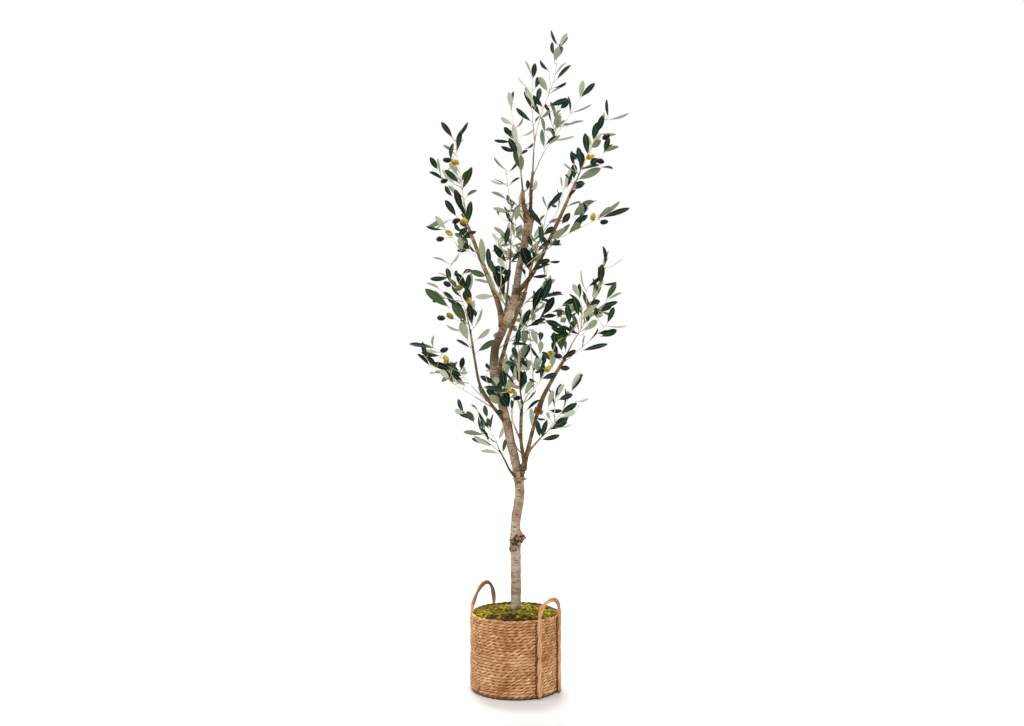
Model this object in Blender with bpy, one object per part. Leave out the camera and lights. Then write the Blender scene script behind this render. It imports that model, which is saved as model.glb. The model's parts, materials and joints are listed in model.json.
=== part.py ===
"""An artificial olive tree, 2.1 m tall, that stands in a rope basket with two handles.

Metres, +Z up. The origin is the middle of the basket's flat underside, and -Y is the front.
Every limb and twig is a tapering tube on a smooth curve through a few guide points, and the
leaves stand on the twigs in pairs, by a rule with a fixed seed.
"""
import math
import random

import bmesh
import bpy
from mathutils import Vector
from mathutils.bvhtree import BVHTree

for old in list(bpy.data.objects):
    bpy.data.objects.remove(old, do_unlink=True)

# Clearance between pieces that touch on the real tree.
GAP = 0.0003
# Corners of a joined mesh that lie closer than this are one.
MERGE = 0.000001
# Places worked out on a smooth curve between two of its guide points.
CURVE_FINENESS = 24
# A branch starts this far inside the tip that it grows on from.
TIP_OVERLAP = 0.003

# ---------------------------------------------------------------- basket, filling and moss
BASKET_RADIUS = 0.1456
BASKET_HEIGHT = 0.2475
BASKET_WALL = 0.008
BASKET_FLOOR = 0.008
BASKET_FOOT_ROUND = 0.014
BASKET_ROUND_STEPS = 4
BASKET_SIDES = 36
INSIDE_RADIUS = BASKET_RADIUS - BASKET_WALL - GAP
FILLING_TOP = 0.205
MOSS_EDGE_TOP = 0.232
MOSS_MIDDLE_TOP = 0.250
MOSS_STEPS = 4
MOSS_HOLE_CLEARANCE = 0.0006

# ---------------------------------------------------------------- handles
STRAP_WIDTH = 0.0145
STRAP_THICK = 0.007
STRAP_FOOT = 0.004
# name, angle of each foot round the basket in degrees, rise of the strap's middle line above the
# rim, and lean of the arch: 1 stands upright, less leans towards the second foot
HANDLES = [
    ("handle_front", -56.0, -17.0, 0.057, 0.85),
    ("handle_back", 162.0, 118.7, 0.072, 0.60),
]
HANDLE_STEPS_LEG = 3
HANDLE_STEPS_ARCH = 16
# The arch's outline is a half sine raised to this power: below 1 it is fuller than a sine.
ARCH_FULLNESS = 0.85
# The strap's section, as shares of half its width and half its thickness
STRAP_SECTION = [(1, 0.3), (0.7, 1), (-0.7, 1), (-1, 0.3), (-1, -0.3), (-0.7, -1), (0.7, -1), (1, -0.3)]

# ---------------------------------------------------------------- trunk
TRUNK_FOOT = FILLING_TOP + GAP
TRUNK_SIDES = 10
TRUNK_STEP = 0.032
# guide points from foot to top: x, y, z, radius
TRUNK_GUIDES = [
    (0.000, 0.000, TRUNK_FOOT, 0.0180),
    (0.000, 0.000, 0.270, 0.0155),
    (0.000, 0.000, 0.400, 0.0146),
    (-0.002, 0.000, 0.520, 0.0142),
    (0.010, 0.008, 0.635, 0.0138),
    (0.001, 0.006, 0.722, 0.0118),
    (-0.016, 0.000, 0.790, 0.0100),
    (-0.040, -0.015, 0.900, 0.0095),
    (-0.062, -0.020, 1.015, 0.0093),
    (-0.050, -0.006, 1.130, 0.0090),
    (-0.006, 0.010, 1.258, 0.0086),
    (0.013, 0.006, 1.370, 0.0076),
    (0.040, -0.010, 1.535, 0.0082),
]
# knots that swell the trunk: height, extra radius, half length
KNOTS = [
    (0.470, 0.0045, 0.034),
    (0.690, 0.0035, 0.022),
    (1.012, 0.0020, 0.018),
    (1.264, 0.0030, 0.020),
    (1.520, 0.0022, 0.018),
]
# cut stubs on the trunk: height, reach to the right (+X), rise, radius at root and at the cut
STUBS = [
    (0.462, 0.027, 0.024, 0.0110, 0.0068),
]
STUB_SIDES = 8

# ---------------------------------------------------------------- boughs
LIMB_STEP = 0.032
LIMB_SIDES = 7
# name, parent, height of the root on the parent's axis, guide points, radius at root and tip
BOUGHS = [
    ("bough_leader", "trunk", 1.505,
     [(0.047, -0.006, 1.540), (0.051, 0.000, 1.610), (0.056, 0.005, 1.670)], 0.0050, 0.0036),
    ("bough_crown_left", "trunk", 1.500,
     [(0.027, -0.020, 1.540), (0.021, -0.025, 1.570), (0.024, -0.030, 1.602)], 0.0060, 0.0046),
    ("bough_left_high", "trunk", 1.165,
     [(-0.058, 0.030, 1.250), (-0.113, 0.085, 1.390), (-0.158, 0.125, 1.505)], 0.0056, 0.0032),
    ("bough_inner", "trunk", 1.185,
     [(-0.030, 0.030, 1.240), (-0.020, 0.050, 1.350), (-0.015, 0.065, 1.420)], 0.0038, 0.0028),
    ("bough_right_mid", "trunk", 0.985,
     [(-0.040, 0.008, 1.080), (-0.006, 0.045, 1.185), (0.034, 0.052, 1.284)], 0.0066, 0.0056),
    ("bough_right_mid_top", "bough_right_mid", 1.255,
     [(0.040, 0.070, 1.310), (0.052, 0.078, 1.365), (0.072, 0.070, 1.435)], 0.0040, 0.0028),
    ("bough_right_high", "trunk", 1.268,
     [(0.055, -0.022, 1.338), (0.118, -0.088, 1.462), (0.188, -0.135, 1.615)], 0.0052, 0.0032),
    ("bough_centre", "trunk", 0.660,
     [(0.027, -0.008, 0.720), (0.017, -0.032, 0.810), (0.020, -0.065, 0.930)], 0.0068, 0.0046),
    ("bough_right_low", "bough_centre", 0.705,
     [(0.038, 0.008, 0.760), (0.060, 0.035, 0.845), (0.078, 0.058, 0.905)], 0.0068, 0.0058),
    ("bough_right_out", "bough_right_low", 0.890,
     [(0.092, 0.068, 0.940), (0.128, 0.098, 1.005), (0.166, 0.120, 1.066)], 0.0048, 0.0036),
    ("bough_low_right", "bough_centre", 0.720,
     [(0.043, -0.036, 0.765), (0.060, -0.060, 0.790), (0.078, -0.085, 0.812)], 0.0040, 0.0030),
    ("bough_left_low", "trunk", 0.860,
     [(-0.064, -0.038, 0.900), (-0.076, -0.049, 0.916), (-0.089, -0.060, 0.934)], 0.0052, 0.0044),
    ("bough_left_mid", "bough_left_low", None,
     [(-0.114, -0.084, 0.985), (-0.128, -0.108, 1.060), (-0.142, -0.130, 1.155)], 0.0042, 0.0032),
    ("bough_low_left", "trunk", 0.672,
     [(-0.018, -0.018, 0.705), (-0.034, -0.032, 0.738), (-0.052, -0.046, 0.772)], 0.0036, 0.0028),
]

# ---------------------------------------------------------------- foliage
TWIG_STEP = 0.045
TWIG_SIDES = 3
STEM_ROOT_RADIUS = 0.0025
STEM_TIP_RADIUS = 0.0018
LEAF_LENGTH = 0.076
LEAF_WIDTH = 0.0200
LEAF_THICK = 0.0016
LEAF_KEEL = 0.0007
LEAF_WIDEST = 0.55
PAIR_STEP = 0.057
FIRST_PAIR = 0.022
TOP_PAIR = 0.007
TOP_LEAF = 0.003
ROOT_STAGGER = 0.0022
ROOT_SINK = 0.0004
# A leaf's lean away from its twig in degrees, on a pair and on the tip; its roll and its turn
# round the twig in radians, either way; and its length as a share of LEAF_LENGTH
PAIR_LEAN = (26, 56)
TIP_LEAN = (2, 14)
LEAF_ROLL = 0.7
LEAF_TURN = 0.5
LENGTH_SHARE = (0.78, 1.08)
# A leaf is tried in so many poses, swollen by the first clearance against other masses, and by
# the second, without its root end, against its own
LEAF_TRIES = 4
CLEAR_OF_OTHERS = 0.0006
CLEAR_OF_OWN = 0.0004
ROOT_END_SHARE = 0.3
OLIVE_LENGTH = 0.027
OLIVE_WIDTH = 0.0175
OLIVE_SIDES = 6
OLIVE_RING_ANGLE = 48
OLIVE_FORWARD = 0.006
# Each mass: name, parent, height of its root (None for the parent's tip), guide points of its
# stem, side twigs as (place along the stem, guide points), and olives as (twig, place along it,
# reach in x and in z). Twig 0 is the stem.
MASSES = [
    ("mass_crown_tip", "bough_leader", None,
     [(0.062, 0.008, 1.765), (0.082, 0.000, 1.850), (0.124, -0.010, 1.965), (0.136, -0.010, 2.065)],
     [(0.24, [(0.052, -0.035, 1.870), (0.055, -0.060, 1.950)])], []),
    ("mass_crown_right", "bough_leader", 1.648,
     [(0.095, 0.030, 1.740), (0.158, 0.070, 1.835), (0.215, 0.100, 1.930)],
     [(0.50, [(0.134, 0.090, 1.850), (0.140, 0.100, 1.905)])], []),
    ("mass_crown_left", "bough_crown_left", None,
     [(0.013, -0.052, 1.690), (-0.003, -0.075, 1.785), (-0.015, -0.085, 1.855)],
     [(0.35, [(-0.025, -0.080, 1.715), (-0.050, -0.090, 1.745)])], []),
    ("mass_left_pale", "bough_inner", None,
     [(-0.015, 0.080, 1.535), (-0.024, 0.095, 1.630), (-0.035, 0.100, 1.700)],
     [(0.35, [(-0.050, 0.110, 1.535), (-0.065, 0.130, 1.570)])], []),
    ("mass_upper_left", "bough_left_high", None,
     [(-0.173, 0.135, 1.595), (-0.188, 0.143, 1.700), (-0.205, 0.150, 1.805)],
     [(0.45, [(-0.230, 0.170, 1.670), (-0.255, 0.190, 1.715)]),
      (0.06, [(-0.205, 0.155, 1.535), (-0.248, 0.180, 1.530)]),
      (0.14, [(-0.153, 0.100, 1.555), (-0.142, 0.090, 1.598)])],
     [(0, 0.72, -0.036, 0.000), (0, 0.66, -0.010, 0.020), (0, 0.50, -0.052, 0.005),
      (0, 0.12, -0.030, -0.008), (2, 0.60, -0.028, -0.045)]),
    ("mass_right_tip", "bough_right_high", None,
     [(0.217, -0.145, 1.682), (0.242, -0.152, 1.738), (0.275, -0.160, 1.805)],
     [(0.22, [(0.260, -0.170, 1.675), (0.280, -0.180, 1.730)]),
      (0.12, [(0.182, -0.150, 1.658), (0.176, -0.160, 1.690)])],
     [(0, 0.66, 0.034, 0.000), (0, 0.36, 0.016, 0.012)]),
    ("mass_right_inner", "bough_right_mid_top", None,
     [(0.090, 0.055, 1.490), (0.105, 0.040, 1.550)],
     [(0.35, [(0.135, 0.060, 1.545), (0.160, 0.065, 1.620)])], []),
    ("mass_right_arm", "bough_right_mid_top", 1.412,
     [(0.120, 0.050, 1.448), (0.178, 0.010, 1.472), (0.270, -0.035, 1.515)],
     [(0.62, [(0.215, 0.010, 1.520), (0.225, 0.020, 1.556)])],
     [(0, 0.78, 0.012, 0.022), (0, 0.80, 0.050, -0.020)]),
    ("mass_front_high", "trunk", 1.338,
     [(0.038, -0.045, 1.365), (0.065, -0.110, 1.383), (0.098, -0.190, 1.398)],
     [(0.38, [(0.034, -0.130, 1.389), (0.024, -0.190, 1.404)])], []),
    ("mass_middle_right", "trunk", 1.092,
     [(-0.018, 0.016, 1.125), (0.058, 0.070, 1.180), (0.170, 0.130, 1.250)],
     [(0.38, [(0.075, 0.090, 1.240), (0.110, 0.100, 1.290)]),
      (0.75, [(0.168, 0.140, 1.205), (0.195, 0.150, 1.180)])], []),
    ("mass_right_out_tip", "bough_right_out", None,
     [(0.190, 0.130, 1.115), (0.250, 0.155, 1.220), (0.295, 0.165, 1.370)],
     [(0.35, [(0.222, 0.130, 1.245), (0.200, 0.120, 1.295)]),
      (0.50, [(0.305, 0.180, 1.255), (0.340, 0.190, 1.290)])], []),
    ("mass_right_out_low", "bough_right_out", 1.045,
     [(0.202, 0.098, 1.086), (0.250, 0.087, 1.128), (0.315, 0.080, 1.190)],
     [(0.42, [(0.222, 0.060, 1.140), (0.180, 0.040, 1.140)])], []),
    ("mass_centre_top", "bough_centre", None,
     [(0.012, -0.082, 0.990), (0.010, -0.100, 1.085), (0.004, -0.110, 1.160)], [], []),
    ("mass_centre_right", "bough_centre", 0.908,
     [(0.040, -0.100, 0.952), (0.079, -0.140, 0.998), (0.110, -0.190, 1.065)],
     [(0.42, [(0.051, -0.160, 1.050), (0.044, -0.220, 1.109)])],
     [(0, 0.95, -0.010, 0.020), (0, 0.88, 0.024, 0.005)]),
    ("mass_trunk_front", "trunk", 0.935,
     [(-0.060, -0.060, 0.952), (-0.084, -0.110, 0.982), (-0.095, -0.160, 1.013)],
     [(0.34, [(-0.032, -0.120, 0.959), (-0.010, -0.180, 0.973)])],
     [(1, 0.90, 0.018, -0.032)]),
    ("mass_low_right", "bough_low_right", None,
     [(0.106, -0.102, 0.842), (0.146, -0.120, 0.900), (0.175, -0.130, 0.965)],
     [(0.40, [(0.122, -0.140, 0.925), (0.125, -0.150, 0.970)]),
      (0.58, [(0.180, -0.105, 0.892), (0.210, -0.090, 0.925)])], []),
    ("mass_low_left", "bough_low_left", None,
     [(-0.070, -0.058, 0.820), (-0.088, -0.066, 0.862), (-0.096, -0.070, 0.905)], [], []),
    ("mass_low_left_out", "bough_low_left", 0.758,
     [(-0.086, -0.070, 0.802), (-0.130, -0.088, 0.860), (-0.180, -0.100, 0.920)], [], []),
    ("mass_mid_left", "bough_left_mid", None,
     [(-0.156, -0.140, 1.212), (-0.182, -0.155, 1.292), (-0.205, -0.165, 1.360)],
     [(0.42, [(-0.208, -0.190, 1.250), (-0.235, -0.210, 1.280)]),
      (0.28, [(-0.136, -0.112, 1.250), (-0.115, -0.090, 1.298)]),
      (0.10, [(-0.175, -0.165, 1.180), (-0.200, -0.190, 1.190)])],
     [(0, 0.46, -0.042, 0.006), (0, 0.38, 0.020, 0.012), (3, 0.88, -0.034, -0.004)]),
    ("mass_left_out", "bough_left_low", 0.915,
     [(-0.137, -0.020, 0.971), (-0.205, 0.050, 1.046), (-0.270, 0.110, 1.102)],
     [(0.60, [(-0.211, 0.100, 1.011), (-0.255, 0.160, 1.034)])],
     [(0, 0.78, -0.006, 0.030)]),
    ("mass_left_out_low", "bough_left_low", 0.902,
     [(-0.130, -0.098, 0.945), (-0.215, -0.140, 1.002), (-0.295, -0.170, 1.085)], [], []),
    ("mass_left_inner", "trunk", 1.212,
     [(-0.036, -0.040, 1.242), (-0.070, -0.100, 1.298), (-0.093, -0.170, 1.378)],
     [(0.38, [(-0.045, -0.120, 1.312), (-0.049, -0.180, 1.363)])], []),
    ("mass_centre_back", "bough_inner", 1.398,
     [(-0.036, 0.092, 1.412), (-0.060, 0.125, 1.440), (-0.072, 0.150, 1.485)], [], []),
    ("mass_back_low", "trunk", 0.925,
     [(-0.040, 0.050, 0.955), (-0.010, 0.150, 1.005), (0.015, 0.240, 1.060)],
     [(0.42, [(-0.040, 0.160, 1.020), (-0.071, 0.220, 1.040)])], []),
    ("mass_back_middle", "trunk", 1.120,
     [(-0.050, 0.045, 1.150), (-0.024, 0.150, 1.209), (-0.010, 0.250, 1.273)],
     [(0.42, [(0.014, 0.150, 1.201), (0.051, 0.220, 1.223)])], []),
    ("mass_back_high", "trunk", 1.355,
     [(0.016, 0.055, 1.382), (0.040, 0.160, 1.425), (0.066, 0.260, 1.483)],
     [(0.42, [(0.000, 0.170, 1.436), (-0.025, 0.240, 1.472)])], []),
    ("mass_back_right", "trunk", 1.200,
     [(-0.010, 0.075, 1.216), (0.052, 0.155, 1.268), (0.108, 0.240, 1.335)],
     [(0.50, [(0.080, 0.140, 1.298), (0.104, 0.165, 1.340)])], []),
    ("mass_back_top", "trunk", 1.470,
     [(0.030, 0.050, 1.506), (0.012, 0.130, 1.563), (0.005, 0.220, 1.629)], [], []),
]

# ---------------------------------------------------------------- materials


def material(name, colour, roughness, metallic=0.0):
    """A plain Principled material."""
    made = bpy.data.materials.new(name)
    made.use_nodes = True
    shader = made.node_tree.nodes["Principled BSDF"]
    shader.inputs["Base Color"].default_value = (*colour, 1.0)
    shader.inputs["Roughness"].default_value = roughness
    shader.inputs["Metallic"].default_value = metallic
    return made


ROPE = material("rope", (0.55, 0.32, 0.15), 0.85)
STRAP = material("strap", (0.50, 0.29, 0.14), 0.80)
PLUG = material("plug", (0.30, 0.24, 0.18), 0.95)
MOSS = material("moss", (0.20, 0.23, 0.04), 0.95)
BARK = material("bark", (0.33, 0.25, 0.18), 0.85)
BOUGH_BARK = material("bough_bark", (0.24, 0.17, 0.09), 0.80)
LEAF = material("leaf", (0.06, 0.15, 0.08), 0.55)

# ---------------------------------------------------------------- meshes and curves


def add_mesh(name, verts, faces, finish, smooth_below=None):
    """A closed mesh object with outward faces, shaded smooth below an angle if one is given."""
    work = bmesh.new()
    corners = [work.verts.new(v) for v in verts]
    for face in faces:
        work.faces.new([corners[i] for i in face])
    bmesh.ops.recalc_face_normals(work, faces=work.faces)
    mesh = bpy.data.meshes.new(name)
    work.to_mesh(mesh)
    work.free()
    mesh.materials.append(finish)
    if smooth_below is not None:
        mesh.shade_smooth()
        mesh.set_sharp_from_angle(angle=math.radians(smooth_below))
    made = bpy.data.objects.new(name, mesh)
    bpy.context.scene.collection.objects.link(made)
    return made


def smooth_course(guides, step):
    """Points about `step` apart on a smooth curve through the guide points."""
    ends = [guides[0] * 2 - guides[1]] + guides + [guides[-1] * 2 - guides[-2]]
    fine = []
    for a, b, c, d in zip(ends, ends[1:], ends[2:], ends[3:]):
        for i in range(CURVE_FINENESS):
            t = i / CURVE_FINENESS
            fine.append((b * 2 + (c - a) * t + (a * 2 - b * 5 + c * 4 - d) * t * t
                         + (b * 3 - a - c * 3 + d) * t ** 3) / 2)
    fine.append(guides[-1].copy())
    along = [0.0]
    for a, b in zip(fine, fine[1:]):
        along.append(along[-1] + (b - a).length)
    count = max(2, round(along[-1] / step))
    course = []
    place = 0
    for i in range(count + 1):
        target = along[-1] * i / count
        while place < len(fine) - 2 and along[place + 1] < target:
            place += 1
        span = along[place + 1] - along[place]
        course.append(fine[place].lerp(fine[place + 1], (target - along[place]) / span))
    return course


def frames(course):
    """For each point, the curve's direction and two directions across it that don't twist."""
    ahead = [(b - a).normalized() for a, b in zip([course[0]] + course[:-1], course[1:] + [course[-1]])]
    across = ahead[0].orthogonal().normalized()
    result = []
    for direction in ahead:
        across = (across - direction * across.dot(direction)).normalized()
        result.append((direction, across, direction.cross(across)))
    return result


def tube_faces(rings, sides):
    """Faces of a tube of so many rings of corners, with its two ends closed."""
    faces = [tuple(range(sides))[::-1], tuple(range((rings - 1) * sides, rings * sides))]
    for ring in range(rings - 1):
        for k in range(sides):
            low = ring * sides
            high = low + sides
            nxt = (k + 1) % sides
            faces.append((low + k, low + nxt, high + nxt, high + k))
    return faces


def tube_shape(course, radii, sides):
    """Corners and faces of a tube with flat ends."""
    verts = []
    for point, radius, (_, u, v) in zip(course, radii, frames(course)):
        for k in range(sides):
            turn = math.tau * k / sides
            verts.append(point + (u * math.cos(turn) + v * math.sin(turn)) * radius)
    return verts, tube_faces(len(course), sides)


def taper(course, root, tip):
    """Radii that go evenly from root to tip."""
    last = len(course) - 1
    return [root + (tip - root) * i / last for i in range(last + 1)]


class Limb:
    """A tapering round limb: its course, its radii and the number of its sides."""

    def __init__(self, course, radii, sides):
        self.course = course
        self.radii = radii
        self.sides = sides

    def shape(self, extra=0.0):
        """The tube's corners and faces, swollen by `extra` on all sides."""
        course = list(self.course)
        course[0] = course[0] + (course[0] - course[1]).normalized() * extra
        course[-1] = course[-1] + (course[-1] - course[-2]).normalized() * extra
        wider = extra / math.cos(math.pi / self.sides)
        return tube_shape(course, [r + wider for r in self.radii], self.sides)

    def root_for(self, height):
        """Where a branch starts on the axis: at a height, or just inside the tip if that is None."""
        if height is None:
            tip = self.course[-1]
            return tip + (self.course[-2] - tip).normalized() * TIP_OVERLAP
        for a, b in zip(self.course, self.course[1:]):
            if a.z <= height <= b.z:
                return a.lerp(b, (height - a.z) / (b.z - a.z))
        return self.course[-1].copy()

    def at(self, share):
        """The point of the axis at a share of the length."""
        place = share * (len(self.course) - 1)
        low = min(int(place), len(self.course) - 2)
        return self.course[low].lerp(self.course[low + 1], place - low)


def applied_mesh(piece):
    """The mesh that a piece's modifiers give, with only its largest shell kept, and whether it closes."""
    graph = bpy.context.evaluated_depsgraph_get()
    mesh = bpy.data.meshes.new_from_object(piece.evaluated_get(graph))
    work = bmesh.new()
    work.from_mesh(mesh)
    bmesh.ops.remove_doubles(work, verts=work.verts, dist=MERGE)
    bmesh.ops.dissolve_degenerate(work, edges=work.edges, dist=MERGE)
    left = set(work.verts)
    shells = []
    while left:
        shell = [left.pop()]
        for vert in shell:
            for edge in vert.link_edges:
                other = edge.other_vert(vert)
                if other in left:
                    left.remove(other)
                    shell.append(other)
        shells.append(shell)
    shells.sort(key=len)
    for shell in shells[:-1]:
        bmesh.ops.delete(work, geom=shell, context="VERTS")
    closes = all(edge.is_manifold for edge in work.edges)
    work.to_mesh(mesh)
    work.free()
    return mesh, closes


def apply_boolean(piece):
    """Apply a piece's Boolean modifiers, with the MANIFOLD solver where EXACT leaves a seam open."""
    mesh, closes = applied_mesh(piece)
    if not closes:
        for modifier in piece.modifiers:
            modifier.solver = "MANIFOLD"
        mesh, closes = applied_mesh(piece)
    if not closes:
        print("open seam:", piece.name)
    piece.modifiers.clear()
    piece.data = mesh


def cut_clear(piece, tools):
    """Cut a piece clear of each tool's shape, and remove the tools."""
    for tool in tools:
        cut = piece.modifiers.new("clear", "BOOLEAN")
        cut.operation = "DIFFERENCE"
        cut.solver = "EXACT"
        cut.object = tool
    apply_boolean(piece)
    for tool in tools:
        bpy.data.objects.remove(tool, do_unlink=True)


def fuse(piece, others):
    """Join other closed objects to a piece by one Boolean union, and remove them."""
    group = bpy.data.collections.new("fuse")
    for other in others:
        group.objects.link(other)
    union = piece.modifiers.new("fuse", "BOOLEAN")
    union.operation = "UNION"
    union.solver = "EXACT"
    union.operand_type = "COLLECTION"
    union.collection = group
    apply_boolean(piece)
    for other in others:
        bpy.data.objects.remove(other, do_unlink=True)
    bpy.data.collections.remove(group)


def spun(name, outline, sides, finish, smooth_below=40):
    """A solid of revolution about Z from an outline of (radius, height), listed upwards or round."""
    verts = []
    rings = []
    for radius, height in outline:
        if radius == 0.0:
            rings.append([len(verts)])
            verts.append(Vector((0.0, 0.0, height)))
            continue
        rings.append(list(range(len(verts), len(verts) + sides)))
        for k in range(sides):
            turn = math.tau * k / sides
            verts.append(Vector((radius * math.cos(turn), radius * math.sin(turn), height)))
    faces = []
    closed = outline[0][0] > 0.0
    pairs = list(zip(rings, rings[1:] + rings[:1])) if closed else list(zip(rings, rings[1:]))
    for low, high in pairs:
        for k in range(sides):
            nxt = (k + 1) % sides
            corners = [low[k % len(low)], low[nxt % len(low)], high[nxt % len(high)], high[k % len(high)]]
            faces.append(tuple(dict.fromkeys(corners)))
    return add_mesh(name, verts, faces, finish, smooth_below)


# ---------------------------------------------------------------- basket, filling, moss, handles


def build_basket():
    """The basket's wall and floor: a straight cup with a rounded foot and a rounded rim."""
    inner = BASKET_RADIUS - BASKET_WALL
    outline = [(0.0, 0.0), (BASKET_RADIUS - BASKET_FOOT_ROUND, 0.0)]
    for i in range(1, BASKET_ROUND_STEPS + 1):
        turn = math.radians(90) * i / BASKET_ROUND_STEPS
        outline.append((BASKET_RADIUS - BASKET_FOOT_ROUND * (1 - math.sin(turn)),
                        BASKET_FOOT_ROUND * (1 - math.cos(turn))))
    outline.append((BASKET_RADIUS, BASKET_HEIGHT - BASKET_WALL / 2))
    for i in range(1, BASKET_ROUND_STEPS + 1):
        turn = math.radians(180) * i / BASKET_ROUND_STEPS
        outline.append((BASKET_RADIUS - BASKET_WALL / 2 * (1 - math.cos(turn)),
                        BASKET_HEIGHT - BASKET_WALL / 2 * (1 - math.sin(turn))))
    outline += [(inner, BASKET_FLOOR), (0.0, BASKET_FLOOR)]
    return spun("basket", outline, BASKET_SIDES, ROPE)


def build_filling():
    """The solid plug inside the basket that weighs the tree down."""
    low = BASKET_FLOOR + GAP
    outline = [(0.0, low), (INSIDE_RADIUS, low), (INSIDE_RADIUS, FILLING_TOP), (0.0, FILLING_TOP)]
    return spun("filling", outline, BASKET_SIDES, PLUG)


def build_moss():
    """The low mound of moss round the trunk's foot."""
    low = FILLING_TOP + GAP
    hole = TRUNK_GUIDES[0][3] + MOSS_HOLE_CLEARANCE
    outline = [(hole, low), (INSIDE_RADIUS, low), (INSIDE_RADIUS, MOSS_EDGE_TOP)]
    for i in range(1, MOSS_STEPS + 1):
        share = i / MOSS_STEPS
        radius = INSIDE_RADIUS + (hole - INSIDE_RADIUS) * share
        rise = math.sin(share * math.pi / 2)
        outline.append((radius, MOSS_EDGE_TOP + (MOSS_MIDDLE_TOP - MOSS_EDGE_TOP) * rise))
    return spun("moss", outline, BASKET_SIDES, MOSS)


def build_handle(name, foot_a, foot_b, rise, lean):
    """A flat woven strap: up the outside of the wall, over in an arch, and down again."""
    middle = BASKET_RADIUS + GAP + STRAP_THICK / 2
    stations = []
    for i in range(HANDLE_STEPS_LEG):
        stations.append((foot_a, STRAP_FOOT + (BASKET_HEIGHT - STRAP_FOOT) * i / HANDLE_STEPS_LEG))
    for i in range(HANDLE_STEPS_ARCH + 1):
        turn = math.pi * i / HANDLE_STEPS_ARCH
        share = ((1 - math.cos(turn)) / 2) ** lean
        stations.append((foot_a + (foot_b - foot_a) * share,
                         BASKET_HEIGHT + rise * math.sin(turn) ** ARCH_FULLNESS))
    for i in reversed(range(HANDLE_STEPS_LEG)):
        stations.append((foot_b, STRAP_FOOT + (BASKET_HEIGHT - STRAP_FOOT) * i / HANDLE_STEPS_LEG))
    course = []
    for angle, height in stations:
        turn = math.radians(angle)
        course.append(Vector((middle * math.cos(turn), middle * math.sin(turn), height)))
    verts = []
    for (angle, _), point, (ahead, _, _) in zip(stations, course, frames(course)):
        turn = math.radians(angle)
        outward = Vector((math.cos(turn), math.sin(turn), 0.0))
        sideways = ahead.cross(outward).normalized()
        for side, out in STRAP_SECTION:
            verts.append(point + sideways * side * STRAP_WIDTH / 2 + outward * out * STRAP_THICK / 2)
    return add_mesh(name, verts, tube_faces(len(course), len(STRAP_SECTION)), STRAP, 50)


# ---------------------------------------------------------------- trunk and boughs


def build_trunk(limbs):
    """The whole trunk with its knots, and its cut stubs fused on."""
    course = smooth_course([Vector(guide) for guide in TRUNK_GUIDES], TRUNK_STEP)
    radii = []
    for point in course:
        swell = 0.0
        for height, extra, reach in KNOTS:
            away = abs(point.z - height) / reach
            if away < 1:
                swell = max(swell, extra * (1 + math.cos(math.pi * away)) / 2)
        radii.append(point.w + swell)
    course = [point.xyz for point in course]
    limbs["trunk"] = Limb(course, radii, TRUNK_SIDES)
    trunk = add_mesh("trunk", *limbs["trunk"].shape(), BARK, 45)
    stubs = []
    for number, (height, reach, rise, root, tip) in enumerate(STUBS):
        start = limbs["trunk"].root_for(height)
        stub = [start, start + Vector((reach, -reach / 3, rise))]
        name = "stub_%d" % number
        limbs[name] = Limb(stub, [root, tip], STUB_SIDES)
        stubs.append(add_mesh(name, *limbs[name].shape(), BARK))
    fuse(trunk, stubs)
    return trunk


def build_bough(limbs, name, parent, height, guides, root, tip):
    """One tapering bough, its root cut to lie against its parent."""
    start = limbs[parent].root_for(height)
    course = smooth_course([start] + [Vector(guide) for guide in guides], LIMB_STEP)
    limbs[name] = Limb(course, taper(course, root, tip), LIMB_SIDES)
    bough = add_mesh(name, *limbs[name].shape(), BOUGH_BARK, 50)
    cut_clear(bough, [add_mesh("tool", *limbs[parent].shape(GAP), BOUGH_BARK)])
    return bough


# ---------------------------------------------------------------- twigs, leaves and olives


def grow_twigs(limbs, parent, height, guides, sides):
    """The stem of a mass and its side twigs."""
    start = limbs[parent].root_for(height)
    twigs = []
    for place, points in [(None, guides)] + sides:
        root = start if place is None else twigs[0].at(place)
        course = smooth_course([root] + [Vector(point) for point in points], TWIG_STEP)
        twigs.append(Limb(course, taper(course, STEM_ROOT_RADIUS, STEM_TIP_RADIUS), TWIG_SIDES))
    return twigs


def leaf_shape(root, ahead, up, length, swell=0.0, root_share=0.0):
    """An eight-sided leaf: a thin blade with a keel, its root end standing on edge."""
    side = ahead.cross(up).normalized()
    up = side.cross(ahead)
    start = root + ahead * length * root_share
    wide = root + ahead * length * LEAF_WIDEST
    half_thick = LEAF_THICK / 2 + swell
    half_width = LEAF_WIDTH / 2 * length / LEAF_LENGTH + swell
    verts = [start + up * half_thick, start - up * half_thick,
             wide + side * half_width, wide - side * half_width,
             wide + up * (LEAF_KEEL + swell), root + ahead * (length + swell)]
    faces = [(0, 4, 2), (0, 3, 4), (4, 5, 2), (4, 3, 5), (1, 2, 5), (1, 5, 3), (0, 2, 1), (0, 1, 3)]
    return verts, faces


def leaf_places(twig):
    """Pairs of leaves up a twig, each pair a quarter turn from the last, and one on its tip."""
    length = sum((b - a).length for a, b in zip(twig.course, twig.course[1:]))
    places = [(1 - TOP_LEAF / length, -1, 0)]
    place = length - TOP_PAIR
    pair = 0
    while place >= FIRST_PAIR:
        places += [(place / length, pair, 0), (place / length, pair, 1)]
        place -= PAIR_STEP
        pair += 1
    return places


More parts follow.
